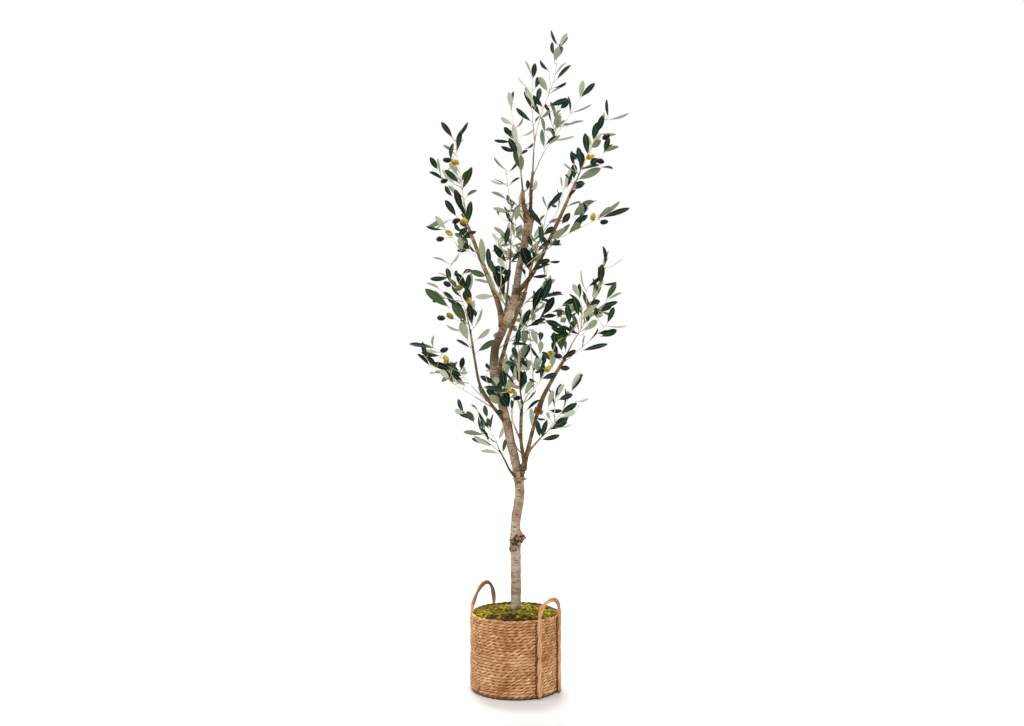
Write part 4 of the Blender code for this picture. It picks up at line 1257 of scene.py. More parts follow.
# lumps on one side of the trunk: height, half length, side in degrees from +X, how far out
LUMPS = [
    (0.492, 0.026, -20.0, 0.008), (0.452, 0.02, 200.0, 0.003), (0.474, 0.032, -95.0, 0.0044),
    (0.676, 0.011, 10.0, 0.0045), (0.676, 0.009, 190.0, 0.003), (0.986, 0.022, 0.0, 0.003),
    (1.262, 0.015, 30.0, 0.004), (1.258, 0.012, 200.0, 0.0025), (1.518, 0.014, 0.0, 0.003),
    (1.514, 0.013, 190.0, 0.003)]
# reddish places on the trunk: height, side in degrees, size, strength
BLUSHES = [
    (0.672, -50.0, 0.013, 1.0), (0.636, -66.0, 0.009, 1.0), (0.49, -40.0, 0.016, 0.6),
    (1.278, -40.0, 0.012, 0.6), (1.462, -60.0, 0.03, 0.25), (0.895, -110.0, 0.024, 0.5),
    (0.355, -80.0, 0.03, 0.25), (0.56, -60.0, 0.03, 0.25), (0.8, -60.0, 0.04, 0.25),
    (1.1, -80.0, 0.04, 0.3)]
# darker, browner stretches of the trunk, partly painted shade: height, half length, strength
SHADES = [
    (1.09, 0.125, 0.95), (0.34, 0.15, 0.12), (0.745, 0.06, 0.2), (1.44, 0.06, 0.25), (1.3, 0.08, 0.45)]
# the lump height at which the bark is fully cracked, and the trunk's usual radius
FULL_KNOT = 0.004
TRUNK_RADIUS = 0.013


def side_of(degrees):
    return Vector(turned_point(1.0, radians(degrees), 0.0))


def trunk_look(point, outward, along):
    knot = 0.0
    lump = 0.0
    for height, reach, side, out in LUMPS:
        share = bell(abs(point.z - height) / reach)
        facing = max(0.0, outward.dot(side_of(side)))
        lump += out * share * facing ** 1.5
        knot = max(knot, share * (0.35 + 0.65 * facing) * min(1.0, out / FULL_KNOT))
    warm = 0.0
    for height, side, size, strength in BLUSHES:
        aside = (outward - side_of(side)).length * TRUNK_RADIUS
        warm = max(warm, strength * bell(hypot(point.z - height, aside) / size))
    shade = sum(strength * bell(abs(point.z - height) / reach)
                for height, reach, strength in SHADES)
    return knot, warm, shade, lump


def between(rows, place):
    for low, high in zip(rows, rows[1:]):
        if place < high[0]:
            share = max(0.0, (place - low[0]) / (high[0] - low[0]))
            return [a + (b - a) * share for a, b in zip(low[1:], high[1:])]
    return rows[-1][1:]


trunk = limbs["trunk"]
trunk_pile = Pile()
profile = [between(BARK_PROFILE, point.z) for point in trunk.fine]
trunk_course = [point + Vector((shift, 0.0, 0.0))
                for point, (shift, _) in zip(trunk.fine, profile)]
trunk_radii = [radius + extra for radius, (_, extra) in zip(trunk.fine_radii, profile)]
bark_tube(trunk_pile, trunk_course, trunk_radii, TRUNK_DRAWN_SIDES, trunk_look, 0.0)
for number, (height, tip, root_radius, tip_radius) in enumerate(STUBS):
    root = trunk.root_for(height)
    course = smooth_course([root, root.lerp(Vector(tip), 0.5), Vector(tip)], FINE_STEP / 2)
    last = len(course) - 1
    radii = [root_radius + (tip_radius - root_radius) * i / last for i in range(last + 1)]
    bark_tube(trunk_pile, course, radii, STUB_DRAWN_SIDES, lambda *_: STUB_LOOK, 2.0 + number, True)
show(trunk_pile.piece("trunk_bark", [bark, cut_wood]), "bark", "trunk")

# %% The boughs
BOUGH_DRAWN_SIDES = 14
COLLAR_LENGTH = 0.024
COLLAR_SWELL = 0.7
# how cracked a bough is at its root, and how far up
ROOT_CRACKS = 0.6
ROOT_CRACKS_REACH = 0.03
# how much thicker a bough is drawn, how reddish its tip is, and how dark its root
USUAL_LOOK = (1.05, 0.0, 0.0)
BOUGH_LOOKS = {
    "bough_leader": (1.2, 0.0, 0.9), "bough_crown_left": (1.35, 0.35, 0.75),
    "bough_left_high": (1.75, 0.3, 0.3), "bough_right_mid_top": (1.05, 0.3, 0.0),
    "bough_right_high": (1.5, 0.9, 0.7), "bough_centre": (1.05, 0.0, 0.4),
    "bough_right_out": (1.5, 0.0, 0.6), "bough_low_right": (1.05, 0.5, 0.0),
    "bough_left_low": (1.05, 0.0, 0.6), "bough_left_mid": (1.05, 0.0, 0.3),
    "bough_low_left": (1.05, 0.0, 0.7)}
# how far to the right the root of one stands
BOUGH_SHIFT = {"bough_crown_left": 0.0058}


def bough_look(name, length):
    """A bough's look: cracked and dark at its root, reddish towards its tip."""
    _, warmth, shade = BOUGH_LOOKS.get(name, USUAL_LOOK)

    def look(point, outward, along):
        share = min(1.0, along / length)
        cracks = ROOT_CRACKS * exp(-along / ROOT_CRACKS_REACH)
        return cracks, warmth * share ** 2, shade * (1 - share ** 2), 0.0
    return look


def bough_radii(name, parent):
    bough = limbs[name]
    thicker = BOUGH_LOOKS.get(name, USUAL_LOOK)[0]
    radii = []
    for point, share in zip(bough.fine, shares(bough.fine)):
        away = (point - bough.fine[0]).length
        collar = exp(-max(0.0, away - limbs[parent].tip_radius) / COLLAR_LENGTH)
        radii.append(bough.radius(share) * (thicker + COLLAR_SWELL * collar))
    return radii


bough_pile = Pile()
for number, (name, parent, *_) in enumerate(BOUGHS):
    fine = limbs[name].fine
    shift = BOUGH_SHIFT.get(name, 0.0)
    course = [point + Vector((shift * (1 - share ** 2), 0.0, 0.0))
              for point, share in zip(fine, shares(fine))]
    bark_tube(bough_pile, course, bough_radii(name, parent), BOUGH_DRAWN_SIDES,
              bough_look(name, course_length(fine)), 3.0 + number, True)
show(bough_pile.piece("boughs_bark", [bough_bark, cut_wood]), "bough_bark",
     *[bough[0] for bough in BOUGHS])

# %% [markdown]
# ## Burrs
# Where a limb was cut and new stems were set in, there is a knobbly orange-brown burr. It is a ball
# that noise has pushed into petals.

# %% Burrs
# course, place along it, radius across, radius upwards
BURRS = [(trunk_course, 0.990, 0.0185, 0.0135),
         (limbs["bough_right_low"].fine, 0.935, 0.0135, 0.0135)]

burr_wood = Finish("burr_wood", paint(160, 92, 34), 0.8)
petals = burr_wood.noise(burr_wood.place(), 170.0, 3.0, 0.6)
burr_wood.drive("Base Color", burr_wood.ramp(petals, (0.38, paint(48, 24, 10)),
                                             (0.47, paint(132, 74, 22)), (0.60, paint(180, 122, 54))))
burr_wood.relief(petals, 0.8, 0.002)
burr_pile = Pile()
for course, share, wide, tall in BURRS:
    centre = along_course(course, share)
    work = bmesh.new()
    bmesh.ops.create_icosphere(work, subdivisions=4, radius=1.0)
    verts = []
    for corner in work.verts:
        out = corner.co.normalized()
        push = 0.84 + 0.55 * noise(out * 2.2 + centre * 9)
        push += 0.45 * abs(noise(out * 5.0 + centre * 7))
        verts.append(centre + Vector((out.x * wide, out.y * wide, out.z * tall)) * push)
    burr_pile.add(verts, [tuple(corner.index for corner in face.verts) for face in work.faces])
    work.free()
show(burr_pile.piece("burrs", [burr_wood.material]), "bark")

# %% [markdown]
# ## Twigs
# The stems in the foliage are moulded and painted, from tan near the bough to cream at the tip.
# They are thin, so a few sides and plain finishes are enough.

# %% Twigs
TWIG_DRAWN_SIDES = 6
TWIG_DRAWN_ROOT = 0.0019
TWIG_TIP_RADIUS = 0.0009
CREAM_FROM = 0.30
BARK_TO = 0.16
TAN, CREAM, BROWN = range(3)

stem_finishes = [plain_finish(*stem, 500.0, 2.0, 0.3, 0.0004) for stem in (
    ("stem_tan", paint(168, 132, 92), 0.7), ("stem_cream", paint(222, 206, 174), 0.65),
    ("stem_brown", paint(102, 80, 48), 0.75))]
twig_pile = Pile()


def draw_twig(course, root_radius, tip_radius, brown_to=0.0):
    """One twig, brown as far as it carries on a bough, then tan, then cream."""
    radii = [root_radius + (tip_radius - root_radius) * share ** 0.5 for share in shares(course)]
    verts, faces = tube_shape(course, radii, TWIG_DRAWN_SIDES)
    finishes = [TAN, CREAM]
    for share in shares(course)[:-1]:
        tint = CREAM if share > CREAM_FROM else TAN
        finishes += [BROWN if share < brown_to else tint] * TWIG_DRAWN_SIDES
    twig_pile.add(verts, faces, finishes)


print("twigs can be drawn in", len(stem_finishes), "finishes")

# %% [markdown]
# ## Where the leaves go
# Olive leaves stand in pairs, each pair a quarter turn from the last. The rule draws each leaf's
# pose from its own seed, tries it against everything placed so far, and skips it if it fits
# nowhere. A plain leaf of eight sides stands in for the drawn one when space is tested.

# %% The rule of the leaves
LEAF_LENGTH = 0.076
LEAF_WIDTH = 0.0200
LEAF_THICK = 0.0016
LEAF_KEEL = 0.0007
LEAF_WIDEST = 0.55
PAIR_STEP = 0.057
FIRST_PAIR = 0.022
TOP_PAIR = 0.007
TOP_LEAF = 0.003
ROOT_STAGGER = 0.0022
ROOT_SINK = 0.0004
PAIR_LEAN = (26, 56)
TIP_LEAN = (2, 14)
LEAF_ROLL = 0.7
LEAF_TURN = 0.5
LENGTH_SHARE = (0.78, 1.08)


def leaf_shape(root, ahead, up, length, swell=0.0, root_share=0.0):
    side = ahead.cross(up).normalized()
    up = side.cross(ahead)
    start = root + ahead * length * root_share
    wide = root + ahead * length * LEAF_WIDEST
    half_thick = LEAF_THICK / 2 + swell
    half_width = LEAF_WIDTH / 2 * length / LEAF_LENGTH + swell
    verts = [start + up * half_thick, start - up * half_thick,
             wide + side * half_width, wide - side * half_width,
             wide + up * (LEAF_KEEL + swell), root + ahead * (length + swell)]
    return verts, [(0, 4, 2), (0, 3, 4), (4, 5, 2), (4, 3, 5),
                   (1, 2, 5), (1, 5, 3), (0, 2, 1), (0, 1, 3)]


def pair_places(twig, below_top=0.0):
    """Places of pairs of leaves down a twig, from below its top, as (share, pair, side)."""
    length = course_length(twig.course)
    place = length - TOP_PAIR - below_top
    pair = 0
    while place >= FIRST_PAIR:
        for side in (0, 1):
            yield place / length, pair, side
        place -= PAIR_STEP
        pair += 1


def leaf_pose(dice, twig, share, pair, side):
    axis = twig.axis(share)
    turn = pi * side + pi / 2 * pair + dice.uniform(-LEAF_TURN, LEAF_TURN)
    lean = radians(dice.uniform(*(PAIR_LEAN if pair >= 0 else TIP_LEAN)))
    ahead = turned(axis, round_axis(axis, turn), lean).normalized()
    up = (axis - ahead * axis.dot(ahead)).normalized()
    roll = dice.uniform(-LEAF_ROLL, LEAF_ROLL)
    up = turned(up, ahead.cross(up), roll).normalized()
    length = LEAF_LENGTH * dice.uniform(*LENGTH_SHARE)
    root = twig.at(share) + axis * ROOT_STAGGER * (side - 0.5) - ahead * ROOT_SINK
    return root, ahead, up, length


# %% The space that is taken


def ball_round(shape):
    """The middle of a shape's corners, and how far they reach from it."""
    centre = sum(shape[0], Vector()) / len(shape[0])
    return centre, max((corner - centre).length for corner in shape[0])


class Space:
    """What is placed already."""

    def __init__(self):
        self.solids = []

    def add(self, mass, shape):
        self.solids.append((mass, *ball_round(shape), BVHTree.FromPolygons(*shape)))

    def touches(self, shape, mass, own):
        """Whether a shape meets anything of other masses, or of its own mass."""
        centre, reach = ball_round(shape)
        tree = BVHTree.FromPolygons(*shape)
        return any((other == mass) == own and (middle - centre).length <= reach + far
                   and tree.overlap(solid) for other, middle, far, solid in self.solids)


space = Space()
for name, limb in limbs.items():
    space.add(name, limb.shape())
for name, _, twig in every_twig:
    space.add(name, twig.shape())
print("limbs and stems take up their space:", len(space.solids))

# %% [markdown]
# ## The leaves of the front, set one by one
# An artificial tree is opened by hand: its leaves are bent until the front looks right. Each row of
# the lists gives a leaf's foot and tip as they appear through the camera, in pixels, what it shows,
# and how wide it looks. Its depth comes from the nearest stem, and a thin stalk grows from there.

# %% What the camera sees
REACH_MARGIN = 0.004


def seen(point):
    """Where a point appears through the camera, in pixels."""
    away = point.y - CAMERA.y
    return (IMAGE_WIDTH / 2 + FOCAL_PIXELS * (point.x - CAMERA.x) / away,
            IMAGE_HEIGHT / 2 - FOCAL_PIXELS * (point.z - CAMERA.z) / away)


def behind(x, y, depth):
    away = depth - CAMERA.y
    return Vector((CAMERA.x + (x - IMAGE_WIDTH / 2) * away / FOCAL_PIXELS, depth,
                   CAMERA.z + (IMAGE_HEIGHT / 2 - y) * away / FOCAL_PIXELS))


def inside_reach(point):
    """Whether a point lies in the space that the solids already take."""
    return all(low + REACH_MARGIN < part < high - REACH_MARGIN
               for low, part, high in zip(cad_low, point, cad_high))


stems = []


def add_stems(points, radii=None):
    stems.extend((seen(point), point, radius)
                 for point, radius in zip(points, radii or [0.0] * len(points)))


# the first points of a limb lie inside its parent
INSIDE_PARENT = 3
add_stems(trunk_course, trunk_radii)
for name, parent, *_ in BOUGHS:
    add_stems(limbs[name].fine[INSIDE_PARENT:], bough_radii(name, parent)[INSIDE_PARENT:])
for _, _, twig in every_twig:
    add_stems(twig.fine[INSIDE_PARENT:])
print("points that things can grow on:", len(stems))

# %% Stalks and stems of the front
FRONT_BIAS = 20.0
DISTANCE_COST = 0.6
LIFT_BIAS = 0.9
CLIMB = 1.5
SIDE_SPREAD = 0.35
STALK_RADIUS = 0.0009
SHORTEST_STALK = 0.003
STALK_RISE = 0.10
STALK_STEP = 0.008
STEM_POINT_STEP = 0.006
# where something is attached to a twig
grips = []


def nearest_stem(x, y, climb):
    """The stem point that suits a foot at a pixel: near, in front, and low enough for a stalk to
    climb from it."""
    def cost(stem):
        (stem_x, stem_y), point, _ = stem
        aside = abs(stem_x - x)
        shallow = max(0.0, aside * climb - (stem_y - y) - 1.0)
        away = hypot(aside, stem_y - y)
        return away * DISTANCE_COST + shallow * LIFT_BIAS + point.y * FRONT_BIAS
    return min(stems, key=cost)[1:]


def root_at(foot_x, foot_y, dice, climb=CLIMB):
    """The nearest stem's point, and a root at a pixel at about the same depth."""
    start, radius = nearest_stem(foot_x, foot_y, climb)
    near = behind(foot_x, foot_y, start.y)
    aside = dice.uniform(-SIDE_SPREAD, SIDE_SPREAD) * (near - start).length
    return start, behind(foot_x, foot_y, start.y + aside - radius)


def draw_stalk(start, root):
    grips.append(start)
    if (root - start).length > SHORTEST_STALK:
        bend = start.lerp(root, 0.5) + Vector((0.0, 0.0, STALK_RISE)) * (root - start).length
        course = smooth_course([start, bend, root], STALK_STEP)
        draw_twig(course, STALK_RADIUS * 1.2, STALK_RADIUS * 0.8)
        add_stems(course[1:])


def stem_through(places, root_radius, tip_radius, brown_to):
    """A stem that starts on the nearest limb and passes through pixels."""
    start, _ = nearest_stem(*places[0], 0.0)
    grips.append(start)
    course = smooth_course([start] + [behind(x, y, start.y) for x, y in places[1:]],
                           STEM_POINT_STEP)
    draw_twig(course, root_radius, tip_radius, brown_to)
    add_stems(course[2:])


# %% The lists
# stems: where they appear from root to tip, radius at root and at tip, how far they are brown
FRONT_STEMS = [
    ([(520, 441), (516, 430), (512, 418), (513, 404), (516, 394)], 0.0044, 0.0024, 0.0),
    ([(519, 456), (516, 446), (513, 432), (511, 421)], 0.0024, 0.0014, 1.0),
    ([(489, 277), (483, 267), (477, 258), (470, 253)], 0.0013, 0.0009, 0.0),
    ([(553, 98), (550, 87), (549, 72)], 0.0012, 0.0009, 0.0),]
# leaves: foot, way to the tip, what shows (dark or middle green upper side, pale underside), width
D, M, P = range(3)
FRONT_LEAVES = {
    "crown_left": [
    (522,172, -1,-17, P,5), (520,170, -6,-20, M,5), (521,158, -3,-16, P,4), (518,156, -9,-18, D,6),
    (520,155, 8,-4, D,2.5), (516,152, -15,-6, D,4), (517,147, -4,-23, P,5), (512,142, -18,-2, D,3),
    (514,140, -6,-10, D,5), (511,136, -7,-9, D,5), (516,128, 7,-11, P,1.5), (513,125, -12,-8, P,4),
    (512,110, -3,-18, P,5), (532,122, -16,-14, D,4)],
    "crown_tip": [
    (525,149, 8,-6, D,2), (522,136, 13,-7, P,2), (544,148, -2,-19, P,4.5), (545,134, -4,-17, P,3),
    (535,123, 6,-8, D,2), (541,118, 9,-8, P,3), (541,117, -15,-25, D,6), (535,109, -10,-22, P,5.5),
    (543,107, -10,-12, D,4.5), (543,107, -6,-10, D,3), (548,112, -2,-8, D,3), (548,106, 21,-7, D,5),
    (537,104, 3,-16, D,5), (535,89, 3,-12, D,4.5), (531,90, -13,-13, P,1.5), (548,92, -9,-15, P,6),
    (549,94, 18,-10, P,2), (553,88, 13,-6, D,2), (533,79, 2,-16, D,5), (532,77, -7,-16, P,2),
    (549,71, -9,-11, D,3.5), (556,80, 15,-15, D,4), (554,76, 12,-13, P,1.5), (554,62, 5,-15, P,6),
    (554,56, -2,-14, D,4), (558,46, -7,-16, D,3), (560,47, 7,-14, P,5)],
    "crown_right": [
    (545,146, 12,-10, D,2.5), (551,141, 24,-5, P,2), (553,136, -5,-9, P,2), (563,127, 21,-6, P,2.5),
    (556,130, 9,-10, P,3), (553,127, 8,-14, P,4), (561,128, -8,-18, P,4), (561,127, -1,-13, P,3),
    (552,124, -3,-17, D,2), (560,109, 9,-8, D,5), (570,114, -2,-18, D,2), (571,113, 21,-9, P,2),
    (580,98, 3,-18, P,5), (580,98, 15,-15, D,5)],
    "left_high": [
    (484,268, -3,-30, P,6), (476,253, -7,-9, D,2.5), (462,250, -3,-12, P,5), (468,251, -11,-1, D,3),
    (470,248, -9,-7, P,5), (465,241, -10,-8, D,4), (471,239, -11,-10, D,6), (468,228, -8,-7, D,5),
    (469,246, -9,-10, M,6), (470,249, -8,-6, D,5), (469,249, -12,-3, P,4), (468,220, -7,-6, M,4),
    (470,237, -11,-6, D,4), (458,236, 9,-9, D,5), (462,232, -8,-8, D,4), (466,233, 10,-2, D,3),
    (446,230, -11,-14, P,5), (444,230, -18,-4, D,2.5), (467,226, 4,-25, D,6), (457,217, -12,-17, D,6),
    (463,214, -8,-25, D,6.5), (466,217, -5,-15, D,4), (466,197, 11,-7, D,3), (459,196, -11,-10, P,4),
    (453,197, -8,-11, D,4), (462,190, 10,-23, D,6), (460,184, -15,-14, D,5), (458,176, -9,-13, P,4),
    (444,180, -15,-8, D,3.5), (441,176, -3,-18, P,2), (438,170, -8,-13, D,5), (451,161, 2,-18, D,4),
    (456,150, -13,-5, P,3), (457,152, 4,-21, D,5), (456,140, 12,-18, D,3), (453,138, -12,-16, D,5)],
    "left_pale": [
    (505,252, -7,-11, P,2), (513,246, 10,-2, P,2.5), (505,247, 4,-20, D,5), (505,244, -13,-11, P,3),
    (507,238, -13,-11, P,4), (515,238, 8,-4, P,2.5), (516,237, 6,-12, P,3.5), (514,236, -3,-14, P,3),
    (516,226, -10,-15, D,2.5), (512,216, 8,-12, D,3), (515,222, 4,-16, P,5), (511,214, -18,-6, P,4),
    (513,208, -6,-13, M,4), (507,200, -16,-8, P,3), (509,185, 11,-7, D,2), (508,184, -18,-4, P,2),
    (509,172, 10,-13, D,2.5), (507,171, -13,-14, P,2)],
    "right_high": [
    (547,208, -4,-12, P,2), (549,203, 8,3, M,3), (548,208, 14,-16, D,5), (562,188, -2,-11, P,2),
    (566,207, 15,-5, P,2), (578,206, 16,-5, P,4), (568,199, 8,-9, D,3), (567,188, 4,-15, D,3),
    (570,180, -5,-5, D,2), (575,183, 10,1, D,5), (574,190, 9,-8, D,6), (577,180, 24,-12, P,7),
    (574,180, 0,-16, D,6), (575,172, -11,-9, P,2), (577,160, -6,-7, D,5), (582,168, -4,-21, D,6),
    (579,170, 21,-5, D,3), (601,167, 12,2, D,2.5), (590,166, 7,-8, D,6), (588,156, -3,-23, D,6),
    (605,152, 14,-5, P,4), (604,152, 5,-15, D,5), (591,148, 10,-8, P,6), (593,141, 4,-19, D,6),
    (600,134, 16,0, P,3), (598,132, 5,-17, D,6), (609,120, 20,-7, P,2.5), (608,118, -1,-19, D,3)],
    "right_arm": [
    (542,246, -1,-20, D,5), (544,234, 10,-7, D,5), (536,251, 16,-11, D,5), (545,247, 7,-5, D,4),
    (548,246, -5,-10, D,4), (551,245, 9,-5, D,4), (551,240, 14,-12, P,6), (556,240, 14,-16, P,4),
    (562,224, 8,-11, D,6), (571,230, 12,-15, D,5), (571,231, 9,-8, P,7), (573,216, 11,-9, P,7),
    (580,223, 8,-8, D,4), (579,213, 8,-8, D,5), (563,217, -14,6, D,2), (598,216, 12,-9, P,4),
    (598,218, 22,-17, P,4), (600,218, 30,-10, D,5), (540,222, 5,-7, P,2.5), (537,243, -7,-11, P,3),
    (533,247, -6,-11, D,4), (541,226, -11,-19, D,4), (531,190, 6,-9, P,3.5), (528,190, -1,-10, D,4),
    (536,262, 5,-10, P,3), (537,262, -3,-13, P,2), (534,262, -3,-14, D,3)],
    "front_high": [
    (530,272, -8,-25, D,7.5), (531,268, -6,-20, D,7), (525,276, -4,-8, D,3), (535,264, 15,-4, D,5),
    (548,262, 12,-1, D,2.5), (533,272, 17,-8, D,3), (531,277, 16,-2, D,3), (511,262, 10,-10, D,4)],
    "left_inner": [
    (505,305, -11,-15, P,3), (497,294, -11,-20, P,4), (504,298, -4,-26, D,6), (499,290, -5,-25, D,6),
    (504,285, 6,-17, D,5), (510,275, -14,-9, D,6), (494,275, -4,-16, M,5), (506,268, -8,-10, P,5),
    (508,260, 1,-11, P,2), (489,270, -1,-22, D,5), (507,263, -13,-17, D,6.5)],
    "left_middle": [
    (477,352, 18,-12, M,5.5), (476,340, 14,-11, P,4.5), (471,348, -15,-8, D,3), (468,341, -7,-19, P,8),
    (463,331, -17,-6, P,2.5), (466,331, -5,-12, D,4), (474,328, 8,-20, P,3), (472,326, -3,-23, D,6),
    (475,318, -1,-9, D,4), (470,318, 4,-18, P,5), (467,324, -11,-23, M,6), (462,298, -10,-13, M,3),
    (470,306, -6,-15, D,6), (450,308, -25,-19, M,8), (464,306, -17,-8, D,4), (456,303, -13,-11, D,4),
    (495,296, -20,1, P,5), (493,284, -19,-4, P,3), (468,296, 3,-24, P,4), (468,270, 17,6, M,5.5),
    (466,290, -9,-17, D,6.5), (462,274, 10,-4, D,4), (467,291, 2,-17, D,5), (472,300, -7,-13, D,5),
    (468,294, -2,-10, P,4), (463,322, -11,-19, M,5.5), (459,277, -4,-6, D,4), (450,284, -3,-16, D,5),
    (450,277, -20,2, D,4.5), (451,264, 8,-11, P,2), (449,264, -16,-6, P,1.5)],
    "left_out": [
    (465,386, -10,-5, P,4), (465,385, -13,-11, D,4), (464,376, 1,-9, P,3.5), (462,376, -12,-5, D,5),
    (461,370, 2,-13, D,5), (460,371, -15,-7, D,6), (457,369, -7,-6, M,4), (450,379, -10,-9, P,5),
    (452,370, -19,-7, D,6), (437,367, -10,-10, D,4), (434,362, -13,-7, P,5), (430,366, -13,-12, D,3.5),
    (437,373, -7,1, P,1.5), (441,356, -20,-4, D,4), (433,348, 1,-13, P,2.5), (430,348, -21,-4, D,4)],
    "low_left": [
    (503,453, 2,-14, M,3.5), (501,454, -21,-3, P,3.5), (498,440, 5,-13, P,4), (497,443, -9,-7, D,1.5),
    (492,447, -18,-11, P,4.5), (490,442, -10,-14, D,3), (484,435, -21,-3, P,4.5), (491,431, -13,-20, D,3),
    (491,430, 2,-16, D,2), (491,428, -4,-10, M,5), (483,431, -1,-13, D,3), (487,418, -2,-13, M,4.5),
    (479,413, -8,-8, D,1), (474,422, -7,-11, M,6), (464,414, -9,-4, P,5), (464,413, -6,-14, D,4)],
    "trunk_front": [
    (505,413, -9,-1, D,4.5), (509,409, -4,-22, D,6), (505,389, 6,-7, P,5), (510,398, 7,-6, P,4),
    (508,408, -8,-12, D,7), (505,405, -16,-9, P,7), (512,410, -1,-10, D,3), (507,402, -21,-12, D,7),
    (509,392, -25,-5, D,5), (497,385, -2,-8, P,6), (496,384, -16,-8, D,5), (505,389, -3,-19, D,7),
    (490,370, -3,-7, D,4), (505,370, 1,-12, P,6), (517,367, -12,-5, D,4), (518,388, -10,-14, D,1.5)],
    "centre": [
    (522,388, -2,-18, D,6), (520,386, 5,-15, D,5), (524,396, 8,-16, P,5), (526,402, 7,-10, P,2),
    (526,411, 14,-11, D,3), (527,393, 8,-9, D,1.5), (525,402, 11,-12, D,1.5), (516,362, -6,-5, D,2),
    (520,392, 6,-18, D,5.5), (515,384, -13,-13, D,2), (517,380, -2,-14, P,3), (523,368, -4,-11, P,6),
    (528,370, -5,-12, D,3), (540,378, 3,-18, D,3), (541,361, 5,-7, D,3), (526,372, 4,-12, P,5),
    (500,396, 12,-12, P,4), (517,360, -4,-13, D,5), (517,346, 2,-17, D,5), (521,360, 5,-16, P,5.5),
    (524,347, 1,-17, P,6), (520,368, 3,-9, M,6), (529,370, -3,-10, M,4), (532,367, 9,-8, P,6.5),
    (541,372, -7,-9, P,6), (536,382, -7,-2, D,2.5), (541,379, 16,-5, D,5), (543,365, 3,-8, D,4),
    (543,368, -8,4, D,3), (540,359, -9,-12, D,3), (540,354, 1,-13, P,5), (538,346, -6,-17, P,5),
    (540,342, 1,-10, D,5), (552,369, 1,-17, P,6), (559,368, 11,0, D,5)],
    "middle_right": [
    (522,327, 8,-18, D,5), (521,320, -3,-8, D,1.5), (532,311, 10,-24, D,7), (541,304, 10,-26, D,6.5),
    (537,310, 8,-7, P,3), (532,322, 2,-10, P,4), (546,296, 16,-3, D,3.5), (543,316, 11,-19, D,7),
    (541,317, 15,-1, D,4), (544,320, 15,6, D,6), (529,326, 17,-7, D,4), (525,327, 14,-2, D,2)],
    "right_out": [
    (581,351, 27,-7, D,4.5), (560,360, 16,-10, D,5), (562,352, -3,-19, M,7), (555,345, -1,-13, D,6),
    (558,356, -6,-14, D,5), (564,337, -4,-12, D,4), (566,338, -2,-13, D,4), (566,342, -8,-19, D,3.5),
    (566,352, -4,-18, M,4), (569,335, 4,-14, D,5), (575,328, -2,-13, M,4), (585,331, 12,-11, P,6),
    (588,322, 0,-8, D,4), (583,345, 2,-10, P,1.5), (590,340, 8,-12, D,1.5), (600,337, 17,-7, D,6),
    (605,326, 22,0, P,1.5), (607,324, 7,-17, D,5), (580,322, 17,-18, P,4.5), (597,318, -3,-12, D,4),
    (594,315, 9,0, P,4), (593,316, 7,-7, M,4), (599,312, 13,-7, D,5), (601,308, 17,-6, D,4.5),
    (586,305, 14,-4, D,5.5), (570,324, -3,-20, D,6), (579,317, -5,-20, D,6), (560,307, 15,-8, D,5.5),
    (558,318, 3,-9, M,5), (560,322, 6,-4, P,5), (587,308, -5,-18, D,3), (580,298, -7,-14, P,5),
    (586,292, -5,-22, P,1.5), (593,300, 4,-12, P,5.5), (597,292, -3,-9, D,4), (607,300, 15,-7, P,2.5),
    (606,300, 10,-17, M,5.5), (602,284, 15,-2, D,2.5), (588,287, 12,-11, D,3.5), (600,285, 2,-21, D,6.5),
    (605,269, 19,-12, P,1.5), (605,266, -2,-20, D,3.5)],
    "low_right": [
    (532,428, -1,-20, P,4.5), (520,411, -2,-11, P,3.5), (540,438, -3,-18, D,5), (541,438, 6,-18, D,5),
    (541,440, 19,-5, D,4.5), (556,428, 16,-4, P,2), (551,428, 17,-9, D,5), (550,420, -2,-8, P,3),
    (547,420, -9,-2, D,2), (549,410, 13,1, D,4), (548,408, 5,-18, P,5), (562,418, 13,-7, P,5),
    (560,414, 17,-11, D,6), (575,402, 13,-4, P,2), (558,400, 15,-6, D,5), (558,398, 6,-14, P,4),
    (571,390, 9,-17, P,4.5)],
}
# olives: where the middle appears, whether ripe, and slope
OLIVES = [
    (447, 160, True, 0), (444, 181, True, 15), (456, 221, True, 25), (440, 239, True, 5),
    (606, 137, True, 25), (600, 161, True, -20), (604, 222, True, 5), (447, 284, True, -30),
    (441, 318, True, -5), (444, 350, True, 20), (558, 356, True, -10), (517, 398, True, 5),
    (455, 162, False, -25), (464, 221, False, 5), (449, 233, False, -35), (590, 157, False, 20),
    (593, 217, False, 75), (459, 288, False, 20), (450, 316, False, -40), (469, 301, False, 80),
    (446, 359, False, -60), (549, 354, False, 35), (548, 369, False, 45), (511, 391, False, 0)]
print("leaves of the front:", sum(len(rows) for rows in FRONT_LEAVES.values()),
      "olives:", len(OLIVES))

# %% The leaves of the front
HAND_LENGTH = 0.066
LEAF_BROADER = 1.15
NARROWEST = 0.9
MOST_LEAN = 0.5
SPARE_LEAN = 0.008
DEPTH_MARGIN = 0.01
LIMB_CLEAR = 0.003
OPEN_VIEW = 9.0
SAMPLES_ALONG = [step / 20 for step in range(3, 20)]
SAMPLES_ACROSS = (-0.85, -0.4, 0.0, 0.4, 0.85)
Leaf = namedtuple("Leaf", "spray root ahead up length width shade")
leaves = []
nearest = {}


def blade_cells(leaf):
    """The pixels in which sample points of a leaf's blade appear, and the depth of each point."""
    side = leaf.ahead.cross(leaf.up).normalized()
    for place in SAMPLES_ALONG:
        half = leaf.width / 2 * sin(pi * place) ** 0.7
        for share in SAMPLES_ACROSS:
            point = leaf.root + leaf.ahead * leaf.length * place + side * half * share
            x, y = seen(point)
            yield (round(x), round(y)), point.y


